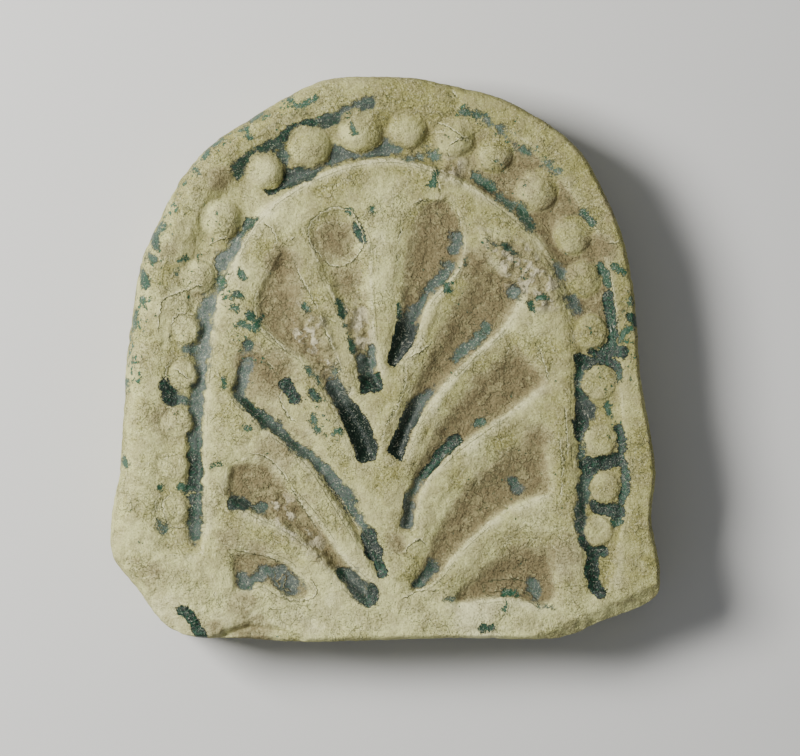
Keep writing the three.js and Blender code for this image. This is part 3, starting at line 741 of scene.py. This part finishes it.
# Where the crust has flaked or cracked.
# Thin leaves of the crust have lifted and left low steps, and fine cracks run between them.
# Each line is a broken edge or a crack, in millimetres.
FLAKE_LINES = [
    [
        (-19.1, -12.7), (-16.3, -13.4), (-14.5, -14.9), (-12.9, -17.2), (-11.5, -19.7), (-9.5, -22.7),
        (-8.1, -24.7),
    ],
    [(-20.4, -26.1), (-18.4, -26.5), (-15.4, -27.2), (-12.9, -28.5)],
    [(-13.9, -31.6), (-13.6, -32.6), (-10.2, -32.8), (-9.1, -31.8), (-10.2, -29.5)],
    [(-10.2, -27.5), (-8.8, -27.7)], [(-23.2, -31.6), (-22.9, -32.9)],
    [(-31.1, -18.6), (-31.4, -21.3), (-30.4, -23.8), (-29.7, -23.4)],
    [(-28.6, -18.3), (-30.3, -19.3), (-30.0, -21.3), (-29.3, -22.9), (-26.6, -22.9)],
    [(-9.8, -15.2), (-6.1, -19.3), (-4.0, -22.7), (-2.7, -24.0)],
    [(-16.7, 0.1), (-15.0, -1.8), (-13.9, -3.3)], [(-7.0, 0.1), (-6.5, -2.2), (-8.1, -2.9)],
    [(2.5, -0.4), (2.8, -2.2), (2.4, -4.9)], [(1.4, -6.3), (-0.6, -11.1)],
    [(3.8, 21.0), (5.5, 21.7), (7.6, 21.4)], [(2.5, 18.3), (1.8, 16.3), (1.7, 12.8)],
    [(-24.2, 15.3), (-22.2, 16.3), (-20.8, 16.5)], [(-29.6, 8.1), (-28.6, 8.7), (-24.5, 10.1)],
    [(6.4, 32.5), (9.5, 31.0), (12.3, 28.5)], [(6.5, 26.5), (7.6, 22.4)], [(9.1, 36.7), (9.8, 35.4)],
    [(-16.6, 18.7), (-15.2, 17.3), (-14.7, 15.7)], [(-13.5, 16.0), (-12.1, 16.4)],
    [(-13.0, 14.9), (-11.5, 11.1), (-9.8, 8.0), (-8.1, 3.9), (-5.4, -2.8)], [(-17.4, 9.4), (-18.0, 7.8)],
    [(-16.7, 4.2), (-14.0, 1.6), (-11.5, -0.4)], [(-14.1, -3.8), (-14.3, -5.6), (-12.9, -8.1), (-11.8, -8.6)],
    [(2.9, 0.0), (5.1, 1.0), (6.8, 2.5)], [(2.8, -0.6), (2.6, -3.6), (1.0, -8.4)],
    [(4.0, 20.5), (4.8, 21.3), (6.4, 21.5), (8.0, 21.5)], [(9.6, 20.4), (10.3, 18.3), (10.0, 17.3)],
    [(8.7, 28.9), (10.3, 29.8), (11.7, 30.1)], [(8.3, 28.6), (8.8, 27.4)],
    [(20.7, 1.8), (21.9, -1.5), (22.2, -3.3)], [(30.5, 12.2), (31.2, 8.1), (31.9, 2.6)],
    [(30.1, 15.8), (32.2, 15.7)], [(-28.9, 0.2), (-29.9, -1.5), (-29.7, -3.5)],
    [(-28.8, -1.2), (-27.4, -2.3), (-26.5, -2.9)], [(-30.8, 3.5), (-30.0, 8.0), (-27.8, 8.8)],
    [(-29.2, 1.9), (-29.0, 4.6), (-27.9, 6.0), (-25.2, 5.7)], [(23.5, -9.5), (24.1, -15.0), (23.7, -20.5)],
    [(24.5, -6.0), (24.9, -14.0)], [(2.8, -26.8), (3.5, -25.4), (4.9, -24.7), (5.8, -25.8)],
    [(2.1, -32.9), (4.8, -31.6), (7.6, -31.6)], [(-15.3, -28.8), (-14.9, -30.2), (-14.0, -31.6)],
    [(-14.6, -30.6), (-13.2, -29.2), (-12.2, -30.0)], [(-13.4, -29.0), (-13.8, -31.2), (-12.6, -31.9)],
    [(13.5, -30.5), (15.8, -30.2), (17.8, -30.0), (19.9, -30.7)],
    [(13.8, -31.8), (15.8, -31.6), (17.6, -30.6)], [(13.3, -30.4), (13.8, -32.2), (15.4, -32.6)],
    [(18.0, -31.2), (17.0, -33.6), (15.6, -35.7)], [(18.4, -31.4), (20.2, -32.6), (21.2, -34.0)],
]
FLAKE_WIDTH = 0.55
FLAKE_REACH = 2.5
LIFTED_FLAKE = [
    (-10.3, 18.4), (-10.5, 16.9), (-9.9, 15.2), (-8.5, 13.8), (-7.4, 12.7), (-5.4, 12.7), (-3.8, 13.8),
    (-2.9, 15.2), (-2.7, 16.5), (-4.0, 19.7), (-5.4, 20.6), (-7.4, 20.6), (-9.1, 19.7),
]

flake = np.full(len(top_spots), GLAZE_REACH)
curl = np.zeros(len(top_spots))
lifted = curve_through(LIFTED_FLAKE, 60, closed=True)
for broken_edge in [*(curve_through(line, 30) for line in FLAKE_LINES), lifted]:
    patch = near(broken_edge, FLAKE_REACH)
    gap, share, side = nearest_on(broken_edge, top_spots[patch])
    taper = 1 if broken_edge is lifted else np.sqrt(np.sin(share * math.pi).clip(0, 1))
    nearer = gap < np.abs(flake[patch])
    flake[patch] = np.where(nearer, side * gap, flake[patch])
    curl[patch] = np.where(nearer, taper * bell(gap, FLAKE_WIDTH), curl[patch])

# Where the crust is stained, and how khaki its tone is, with painted shade and painted highlight in places.
# Brown smudges lie outside the hollows too: middle, radius and strength of each. Most are stain; those at
# (-18.4, -0.4) under the arch band's inner edge and at (-15.5, -2.2) in the middle left hollow are painted
# shade
SMUDGES = [
    (-15.5, -2.2, 3.4, 1.0), (-6.9, 16.3, 2.8, 1.0), (-13.5, 9.0, 3.0, 0.8), (-11.9, 2.9, 2.3, 1.1),
    (-15.0, -12.7, 3.2, 0.6), (-4.7, -26.8, 2.4, 0.25), (-5.0, 10.6, 2.0, 0.8), (12.4, 12.8, 2.4, 1.0),
    (-18.4, -0.4, 1.9, 1.3), (-22.0, 4.0, 1.4, 0.3), (-13.8, 12.8, 2.1, 1.4), (17.8, 26.1, 1.8, 0.9),
    (-17.5, -26.8, 2.2, 0.7), (24.0, -27.0, 3.5, 0.55), (29.2, 14.9, 2.1, 1.2), (23.2, 20.4, 1.6, 0.8),
    (-3.8, 5.0, 1.8, 0.7), (24.5, 12.5, 3.2, 0.4), (19.0, 24.0, 3.5, 0.4), (22.0, 19.0, 3.0, 0.45),
    (31.0, 21.0, 3.0, 0.4), (8.0, 26.5, 3.0, 0.2), (-24.0, 14.0, 2.5, 0.25), (-25.6, 8.4, 1.6, 0.4),
    (-33.5, 0.0, 2.5, 0.35), (-30.0, -8.0, 3.5, 0.35), (-31.5, -29.0, 2.5, 0.45), (21.0, -3.0, 2.5, 0.5),
    (-22.0, -20.0, 2.5, 0.3), (-18.0, -37.6, 3.0, 0.7), (-23.5, -36.8, 2.0, 0.5), (15.0, -20.0, 3.0, 0.3),
    (-19.5, -33.0, 2.6, 0.5), (5.2, 14.0, 2.3, 0.6), (-21.1, -24.7, 2.6, 0.45), (-29.3, 14.9, 2.0, 0.45),
    (-22.5, 24.6, 2.2, 0.6), (20.9, -10.8, 2.0, 0.95), (-13.3, 7.0, 2.0, 1.1), (1.6, -25.2, 1.6, 0.7),
    (13.4, -3.2, 2.0, 0.7), (-11.5, -19.3, 1.8, 0.5), (-18.0, 1.0, 1.4, 0.6),
]
BROKEN_STAIN = 0.22
CRUMBLED_STAIN = 0.45
CHANNEL_DIRT_AND_SHADE = 0.8
# The crust's tone is darker and yellower towards the arch and the right, and lighter along the foot.
# Patches of it are creamier, or darker where the strength is below 0: middle, radius and strength.
# Most are crust of another tone; those on the stem and on the arch band's upper left shoulder
# are painted highlight where these slopes face the soft box.
CREAM_AND_HIGHLIGHT_PATCHES = [
    (-1.2, 16.0, 3.0, 0.9), (-0.6, 9.2, 2.6, 0.75), (-16.5, 20.5, 3.6, 1.0), (-21.0, 11.5, 2.8, 0.9),
    (20.5, 3.8, 3.2, 0.4), (5.0, -11.0, 2.0, 0.3), (13.0, -35.5, 4.0, 0.9), (-11.5, -35.7, 3.0, 0.4),
    (-32.0, -19.0, 3.0, 0.1), (-32.0, 8.0, 2.5, 0.3), (20.3, -21.3, 2.8, 0.9), (15.8, 4.4, 2.4, 0.5),
    (12.0, -12.8, 2.5, 0.6), (0.5, -4.5, 2.4, -0.4), (-27.3, 7.9, 2.0, 0.9), (0.5, 21.4, 2.6, 0.8),
    (-24.5, 20.5, 2.5, 0.5), (20.8, 9.2, 3.0, 0.7), (-8.0, 36.8, 4.0, 0.2), (19.6, -16.8, 1.6, 0.5),
    (14.8, 17.0, 2.0, 0.4), (0.3, -19.0, 3.0, -0.15), (-17.0, -24.5, 3.0, -0.2),
]
# Pinholes let green specks of glaze through along these lines: half width, how thickly, middle line
PINHOLES = [
    (1.8, 1.0, [(-34.6, -3.0), (-33.8, 5.0), (-32.2, 11.0), (-31.0, 17.0), (-29.0, 20.5)]),
    (1.2, 0.9, [(-28.5, 22.5), (-23.5, 28.5), (-18.0, 32.2), (-12.0, 35.4)]),
    (1.5, 0.8, [(-21.5, 9.0), (-20.0, 4.0), (-18.5, 0.0)]),
    (1.2, 0.8, [(33.6, 8.5), (33.4, 4.0), (33.8, -2.0)]),
    (1.4, 0.7, [(9.0, 34.6), (17.0, 30.6), (23.0, 26.0)]),
    (1.2, 0.7, [(-20.5, 26.0), (-14.0, 30.8), (-4.0, 33.8)]),
    (1.5, 0.6, [(-16.0, 0.0), (-9.5, -6.0), (-7.0, -11.0)]),
    (1.3, 0.6, [(14.0, 16.0), (18.0, 14.0), (19.5, 9.0)]),
    (1.4, 0.6, [(-27.0, 5.0), (-26.0, 12.0), (-22.5, 20.0)]),
    (1.4, 0.5, [(9.0, 12.0), (13.0, 2.0), (8.0, -4.0)]), (1.6, 0.5, [(-27.5, -2.0), (-28.5, -9.0)]),
    (1.3, 0.5, [(6.0, 30.0), (10.0, 30.0), (21.0, 22.5)]),
    (1.4, 0.5, [(28.0, 4.0), (31.5, -8.0), (31.5, -15.0)]),
]


def blot(x, y, radius):
    """1 at a place on the front, fading to next to nothing at twice the radius."""
    return bell(np.linalg.norm(top_spots - (x, y), axis=1), radius)


for smudge_x, smudge_y, radius, strength in SMUDGES:
    stain_and_shade = np.maximum(stain_and_shade, strength * blot(smudge_x, smudge_y, radius))
stain_and_shade = np.maximum(stain_and_shade, broken * BROKEN_STAIN)
stain_and_shade = np.maximum(stain_and_shade, crumble * CRUMBLED_STAIN)

right, up = top_spots.T
khaki_tone = 0.61 + 0.0065 * right + 0.0057 * up + 0.22 * lumps(top_spots, 9.0, 3, 12.0)
khaki_tone -= 0.4 * bell(up + 35, 4)
for patch_x, patch_y, radius, strength in CREAM_AND_HIGHLIGHT_PATCHES:
    khaki_tone -= strength * blot(patch_x, patch_y, radius)
khaki_tone += 0.04 * bell(right + 35, 4) + 0.02 * bell(up - 36, 5)
# The beads are a little creamier, a painted highlight on the raised forms, and the channel's floor khakier,
# partly real tone and partly painted shade
on_bead = np.clip(-bead_gap / 0.5, 0, 1)
channel_floor = np.clip(channel_depth / 0.5, 0, 1) * np.clip(bead_gap / 0.4, 0, 1)
khaki_tone = np.clip(khaki_tone - 0.12 * on_bead + 0.2 * channel_floor, -0.6, 1)
# Round the beads on the upper right the channel's floor is browned: dirt, and painted shade in the moats
# beside the beads
upper_right = np.interp(channel_share, (0.54, 0.61, 0.76, 0.82), (0, 1, 1, 0))
stain_and_shade = np.maximum(stain_and_shade, CHANNEL_DIRT_AND_SHADE * channel_floor * upper_right)

scatter = np.zeros(len(top_spots))
for half_width, thickly, line in PINHOLES:
    scatter = np.maximum(scatter, thickly * bell(gap_to(line, top_spots), half_width))

# Each of these is kept on the mesh for the finish: its name, its values on top, and that on wall and back
for name, values, elsewhere in (
    ("glaze", glaze, -GLAZE_REACH),
    ("haze", haze, 0),
    ("breadth", breadth, 0),
    ("stain_and_shade", stain_and_shade, 0.15),
    ("flake", flake, GLAZE_REACH),
    ("curl", curl, 0),
    # The walls and back take a creamier tone than most of the front, which lifts the walls where they stand
    # in shade: painted light
    ("khaki_tone", khaki_tone, 0.42),
    ("scatter", scatter, 0),
    ("bead_gap", bead_gap, FAR),
    ("cavity", cavity, 0),
    ("arris", arris, FAR),
    ("lip", lip, 0),
    ("rubble", crumble, 0),
):
    everywhere = np.full(len(spots), float(elsewhere))
    everywhere[top] = values
    layer = plaque_mesh.attributes.new(name, "FLOAT", "POINT")
    layer.data.foreach_set("value", everywhere.astype(np.float32))

# The plaque's finish.
# A matte cream weathering crust, mottled khaki and stained brown in the hollows, over dark green glaze.
# All patterns are in millimetres on the piece, and the crust's own thickness is in the bump.
CREAM = (0.54, 0.535, 0.24, 1)
KHAKI = (0.265, 0.25, 0.085, 1)
BROWN = (0.172, 0.138, 0.066, 1)
DIRT_AND_SHADE = (0.14, 0.115, 0.048, 1)
SPECK = (0.08, 0.09, 0.038, 1)
CHALK = (0.68, 0.66, 0.37, 1)
ROSY = (0.29, 0.258, 0.13, 1)
PLASTER = (0.57, 0.53, 0.35, 1)
PINHOLE_GREEN = (0.024, 0.092, 0.044, 1)
GLAZE_DARK = (0.003, 0.011, 0.006, 1)
GLAZE_GREEN = (0.008, 0.052, 0.025, 1)
GLAZE_HAZE = (0.13, 0.155, 0.135, 1)
DUST_AND_GLINTS = (0.36, 0.40, 0.29, 1)
ROOTLET = (0.50, 0.49, 0.38, 1)
GLOSS = 0.3
CRUST_THICKNESS = 0.16

finish = bpy.data.materials.new("weathered_glaze")
finish.use_nodes = True
tree = finish.node_tree
shader = tree.nodes["Principled BSDF"]
shader.inputs["Specular IOR Level"].default_value = GLOSS


def joined(kind, inputs, settings=None, output=0):
    """Adds a node; an input is a value or another node's output."""
    node = tree.nodes.new(kind)
    for setting, value in (settings or {}).items():
        setattr(node, setting, value)
    for socket, value in inputs.items():
        if isinstance(value, bpy.types.NodeSocket):
            tree.links.new(value, node.inputs[socket])
        else:
            node.inputs[socket].default_value = value
    return node.outputs[output]


def sums(operation, first, second=0.0, third=0.0):
    return joined("ShaderNodeMath", {0: first, 1: second, 2: third}, {"operation": operation})


def times(first, second):
    return sums("MULTIPLY", first, second)


def less(first, second):
    return sums("SUBTRACT", first, second)


def larger(first, second):
    return sums("MAXIMUM", first, second)


def added(start, pattern, amount):
    """A start, plus a pattern by an amount."""
    return sums("MULTIPLY_ADD", pattern, amount, start)


def stirred(start, pattern, amount):
    """A start that is moved up and down by a pattern whose middle is 0.5."""
    return added(start, less(pattern, 0.5), amount)


def ramp(value, low, high, out_low=0.0, out_high=1.0):
    return joined(
        "ShaderNodeMapRange",
        {"Value": value, "From Min": low, "From Max": high, "To Min": out_low, "To Max": out_high},
        {"interpolation_type": "SMOOTHSTEP"},
    )


def strip(value, rises, falls):
    """1 where a value lies between two steps, and 0 outside them."""
    return times(ramp(value, *rises), ramp(value, *falls, 1.0, 0.0))


def thin_line(value, half_width, fades_at, strength=1.0):
    """Strong where a value is about 0, and gone a little way from it."""
    return ramp(sums("ABSOLUTE", value), half_width, fades_at, strength, 0.0)


def mottle(per_mm, detail=2.0, roughness=0.5, offset=0.0):
    away = (offset, offset * 0.7, offset * 1.3)
    shifted = joined("ShaderNodeMapping", {"Vector": on_piece, "Location": away})
    return joined(
        "ShaderNodeTexNoise",
        {"Vector": shifted, "Scale": per_mm, "Detail": detail, "Roughness": roughness},
    )


def between(share, first, second):
    return joined("ShaderNodeMix", {"Factor": share, "A": first, "B": second})


def laid_over(under, colours):
    """Lays colours over one another in order, each where its own share shows it."""
    for share, colour in colours:
        under = joined(
            "ShaderNodeMix", {"Factor": share, "A": under, "B": colour}, {"data_type": "RGBA"}, "Result"
        )
    return under


def layer_of(name):
    return joined("ShaderNodeAttribute", {}, {"attribute_name": name}, "Fac")


in_metres = joined("ShaderNodeTexCoord", {}, None, "Object")
on_piece = joined("ShaderNodeMapping", {"Vector": in_metres, "Scale": (1000, 1000, 1000)})

zones = mottle(0.22, 3, 0.5)
patches = mottle(0.7, 4, 0.6, 3.0)
lumpy = mottle(1.8, 3, 0.55, 21.0)
grain = mottle(3.0, 3, 0.7, 7.0)
fine = mottle(6.0, 2, 0.6, 11.0)
frayed = mottle(0.6, 6, 0.6, 17.0)
leafy = mottle(0.5, 5, 0.55, 61.0)
veins = mottle(0.45, 2, 0.5, 31.0)
pinholes = mottle(1.5, 4, 0.7, 41.0)
specks = mottle(4.2, 2, 0.6, 53.0)

# The glaze is bare where its layer is above 0. Noise frays its border, most where it is hazy or narrow
hazy = times(sums("POWER", layer_of("haze"), 1.5), ramp(patches, 0.3, 0.6, 0.5, 1.0))
hazy = times(hazy, ramp(grain, 0.30, 0.62, 0.35, 1.1))
bare = stirred(layer_of("glaze"), frayed, added(1.3, layer_of("haze"), 2.6))
narrow = ramp(layer_of("breadth"), 0.3, 0.8, 1.0, 0.0)
bare = stirred(bare, grain, added(0.75, narrow, 1.0))
bare = stirred(bare, fine, added(0.3, narrow, 0.6))
holed = times(layer_of("scatter"), ramp(patches, 0.40, 0.62, 0.3, 1.0))
holed = times(added(less(pinholes, 0.685), holed, 0.20), 2.5)
is_pinhole = ramp(less(holed, bare), 0.0, 0.05)
bare = larger(bare, holed)
blurring = between(is_pinhole, added(1.0, layer_of("haze"), 7.0), 1.0)

# Flakes: a dark line at the broken edge, a crack with painted shadow along it, a pale lip beside it, chalky
# and partly painted highlight, and a low step
gap_frayed = stirred(layer_of("flake"), lumpy, 0.9)
gap_frayed = stirred(gap_frayed, grain, 0.35)
flake_near = times(ramp(layer_of("curl"), 0.2, 0.7), ramp(frayed, 0.38, 0.46))
on_flake_edge = times(thin_line(gap_frayed, 0.02, 0.11), flake_near)
flake_lip = times(strip(gap_frayed, (0.05, 0.12), (0.16, 0.32)), flake_near)
flake_step = times(ramp(gap_frayed, -0.12, 0.12), layer_of("curl"))
is_glaze = ramp(sums("DIVIDE", bare, blurring), -0.04, 0.06)
is_glaze = times(is_glaze, less(1.0, flake_lip))
bead_foot = thin_line(layer_of("bead_gap"), 0.0, 0.35)
bent_place = joined("ShaderNodeVectorMath", {0: on_piece, 1: patches}, {"operation": "ADD"}, "Vector")
crackle = joined(
    "ShaderNodeTexVoronoi", {"Vector": bent_place, "Scale": 0.5}, {"feature": "DISTANCE_TO_EDGE"}
)
crackled = times(ramp(crackle, 0.006, 0.03, 1.0, 0.0), ramp(zones, 0.52, 0.60))
coarseness = larger(ramp(zones, 0.38, 0.62, 0.15, 1.0), layer_of("stain_and_shade"))

# The crust's tone goes from cream to khaki, with the painted shade and highlight its layer carries, and thin
# leaves of it are gone
tone = sums("ADD", layer_of("khaki_tone"), added(-0.5, zones, 1.0))
tone = stirred(tone, patches, 0.8)
speckled = sums("ADD", less(grain, 0.5), less(fine, 0.5))
tone = added(tone, speckled, added(0.3, coarseness, 0.6))
leaf_gone = times(sums("ADD", ramp(leafy, 0.44, 0.452), ramp(leafy, 0.52, 0.532)), coarseness)
leaf_edge = strip(leafy, (0.50, 0.515), (0.52, 0.53))
tone = added(tone, leaf_gone, 0.12)
rosy = times(ramp(added(veins, patches, 0.5), 0.70, 0.85), 0.4)
rosy = larger(rosy, times(layer_of("rubble"), 0.6))
tinted = stirred(layer_of("stain_and_shade"), patches, 0.8)
rosy = larger(rosy, ramp(tinted, 0.10, 0.45, 0.0, 0.8))

# Crests are chalky: wear, and a painted highlight on the raised forms. The crisp edges of the walls carry a
# pale band, a painted highlight, and lips and specks are chalky
wear_and_highlight = times(ramp(layer_of("cavity"), -0.05, -0.5, 0.0, 0.75), ramp(patches, 0.3, 0.5, 0.5, 1.0))
wear_and_highlight = times(wear_and_highlight, ramp(layer_of("bead_gap"), -0.6, 0.1, 0.35, 1.0))
wear_and_highlight = times(wear_and_highlight, ramp(grain, 0.36, 0.58, 0.45, 1.15))
arris_gap = stirred(layer_of("arris"), grain, 0.4)
crest_highlight = strip(arris_gap, (-0.3, -0.1), (0.1, 0.35))
crest_highlight = times(crest_highlight, times(layer_of("lip"), ramp(frayed, 0.42, 0.55)))
chalk_and_highlight = larger(wear_and_highlight, times(flake_lip, 0.95))
chalk_and_highlight = larger(chalk_and_highlight, times(crest_highlight, ramp(grain, 0.4, 0.6, 0.25, 0.9)))
chalk_and_highlight = larger(chalk_and_highlight, times(times(leaf_edge, coarseness), 0.6))
chalk_and_highlight = larger(chalk_and_highlight, times(ramp(specks, 0.40, 0.34), 0.45))

# Brown stain with painted shade in places, rubble with plaster-like crumbs and dark gaps, dirt and painted
# shade in the cavities, pits and cracks
brown_stain_and_shade = stirred(layer_of("stain_and_shade"), patches, 1.2)
brown_stain_and_shade = stirred(brown_stain_and_shade, lumpy, 0.8)
left_on = ramp(leafy, 0.425, 0.44, 1.0, 0.0)
brown_stain_and_shade = times(ramp(brown_stain_and_shade, 0.2, 1.0, 0.0, 0.97), ramp(grain, 0.3, 0.6, 0.75, 1.0))
brown_stain_and_shade = times(brown_stain_and_shade, added(1.0, left_on, -0.35))
crumbs = times(layer_of("rubble"), ramp(leafy, 0.50, 0.56, 0.0, 0.75))
dark_gaps = times(layer_of("rubble"), ramp(frayed, 0.44, 0.36, 0.0, 0.45))
# Darker in the cavities and in a thin line round each bead's foot: dirt, and painted shade where these lie in
# shadow
crevice_dirt_and_shade = times(ramp(layer_of("cavity"), 0.05, 0.7, 0.0, 0.4), ramp(lumpy, 0.3, 0.6, 0.5, 1.0))
crevice_dirt_and_shade = larger(crevice_dirt_and_shade, times(bead_foot, 0.2))
pitted = times(ramp(specks, 0.58, 0.66), added(0.2, coarseness, 0.5))
arris_crack = thin_line(less(arris_gap, 0.45), 0.02, 0.08)
arris_crack = times(arris_crack, times(layer_of("lip"), ramp(zones, 0.44, 0.50)))
cracks_and_edge_shadow = larger(times(on_flake_edge, 0.95), times(crackled, 0.55))
cracks_and_edge_shadow = larger(cracks_and_edge_shadow, times(arris_crack, 0.65))
crust_colour = laid_over(CREAM, [
    (ramp(tone, 0.0, 1.1), KHAKI), (ramp(tone, -0.5, 0.05, 0.75, 0.0), CHALK), (rosy, ROSY),
    (chalk_and_highlight, CHALK), (brown_stain_and_shade, BROWN), (crumbs, PLASTER), (dark_gaps, DIRT_AND_SHADE), (crevice_dirt_and_shade, DIRT_AND_SHADE),
    (pitted, SPECK), (cracks_and_edge_shadow, SPECK),
])

# The glaze is darkest where it lies thick, and carries haze, pale specks that are dust and painted glints,
# and fine pale rootlets
deep_glaze = stirred(layer_of("breadth"), grain, 4.0)
deep_glaze = stirred(deep_glaze, lumpy, 1.5)
thin_glaze = ramp(layer_of("breadth"), 0.3, 0.6, 0.6, 0.0)
crumby = added(specks, layer_of("haze"), 0.05)
crumby = added(crumby, narrow, 0.04)
# Pale specks on the glaze: dust, and painted glints of its gloss
dust_and_glints = times(ramp(patches, 0.40, 0.6, 0.15, 0.8), ramp(crumby, 0.62, 0.68))
on_hair = times(thin_line(less(frayed, 0.5), 0.001, 0.006, 0.7), ramp(lumpy, 0.48, 0.54))
on_vein = times(thin_line(less(veins, 0.5), 0.001, 0.004, 0.6), ramp(zones, 0.50, 0.58))
glaze_colour = laid_over(GLAZE_GREEN, [
    (ramp(deep_glaze, 0.2, 1.0), GLAZE_DARK), (thin_glaze, PINHOLE_GREEN), (hazy, GLAZE_HAZE),
    (is_pinhole, PINHOLE_GREEN), (dust_and_glints, DUST_AND_GLINTS), (larger(on_vein, on_hair), ROOTLET),
])
tree.links.new(laid_over(crust_colour, [(is_glaze, glaze_colour)]), shader.inputs["Base Color"])

crust_rough = ramp(grain, 0.3, 0.7, 0.82, 0.98)
glaze_rough = added(0.36, hazy, 0.4)
tree.links.new(between(is_glaze, crust_rough, glaze_rough), shader.inputs["Roughness"])

crust_relief = times(times(lumpy, 0.25), coarseness)
for pattern, amount in (
    (patches, 0.42), (grain, 0.11), (fine, 0.045), (leaf_gone, -0.12),
    (times(left_on, layer_of("stain_and_shade")), 0.09), (times(layer_of("rubble"), added(frayed, crumbs, 0.3)), 0.9),
    (pitted, -0.09), (flake_step, 0.19), (crest_highlight, 0.08), (cracks_and_edge_shadow, -0.08), (bead_foot, -0.06),
):
    crust_relief = added(crust_relief, pattern, amount)
glaze_relief = added(0.15 - CRUST_THICKNESS, grain, 0.16)
glaze_relief = added(glaze_relief, dust_and_glints, 0.05)
relief = between(is_glaze, crust_relief, glaze_relief)
bump = joined("ShaderNodeBump", {"Strength": 1.0, "Distance": MM, "Height": relief}, None, "Normal")
tree.links.new(bump, shader.inputs["Normal"])
plaque_mesh.materials.append(finish)

plaque = bpy.data.objects.new("plaque_body", plaque_mesh)
scene.collection.objects.link(plaque)
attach(plaque, "root")
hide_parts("plaque")

# The table.
# A plain pale table that the plaque lies on. It isn't part of the object.
TABLE_SIZE = 4.0
TABLE_COLOUR = (0.62, 0.62, 0.61, 1)
TABLE_ROUGHNESS = 0.9

table_form = bmesh.new()
bmesh.ops.create_grid(table_form, x_segments=1, y_segments=1, size=TABLE_SIZE / 2)
table_mesh = bpy.data.meshes.new("table")
table_form.to_mesh(table_mesh)
table_form.free()
table_finish = bpy.data.materials.new("pale_table")
table_finish.use_nodes = True
table_shader = table_finish.node_tree.nodes["Principled BSDF"]
table_shader.inputs["Base Color"].default_value = TABLE_COLOUR
table_shader.inputs["Roughness"].default_value = TABLE_ROUGHNESS
table_mesh.materials.append(table_finish)
table = bpy.data.objects.new("table", table_mesh)
scene.collection.objects.link(table)

# The lights.
# A soft box stands on the upper left, so that the relief throws its shadows to the lower right.
# Pale light from all round fills them.
SOFT_BOX_FROM = Vector((-0.84, 0.30, 0.88))
SOFT_BOX_DISTANCE = 0.42
SOFT_BOX_SIZE = 0.16
SOFT_BOX_POWER = 3.65
SOFT_BOX_COLOUR = (1.0, 0.985, 0.95)
ROOM_COLOUR = (0.95, 0.97, 1.0, 1)
ROOM_STRENGTH = 0.25

soft_box_data = bpy.data.lights.new("soft_box", "AREA")
soft_box_data.size = SOFT_BOX_SIZE
soft_box_data.energy = SOFT_BOX_POWER
soft_box_data.color = SOFT_BOX_COLOUR
soft_box = bpy.data.objects.new("soft_box", soft_box_data)
soft_box.location = SOFT_BOX_FROM.normalized() * SOFT_BOX_DISTANCE
soft_box.rotation_euler = SOFT_BOX_FROM.to_track_quat("Z", "Y").to_euler()
scene.collection.objects.link(soft_box)

room = bpy.data.worlds.new("pale_room")
room.use_nodes = True
room.node_tree.nodes["Background"].inputs["Color"].default_value = ROOM_COLOUR
room.node_tree.nodes["Background"].inputs["Strength"].default_value = ROOM_STRENGTH
scene.world = room
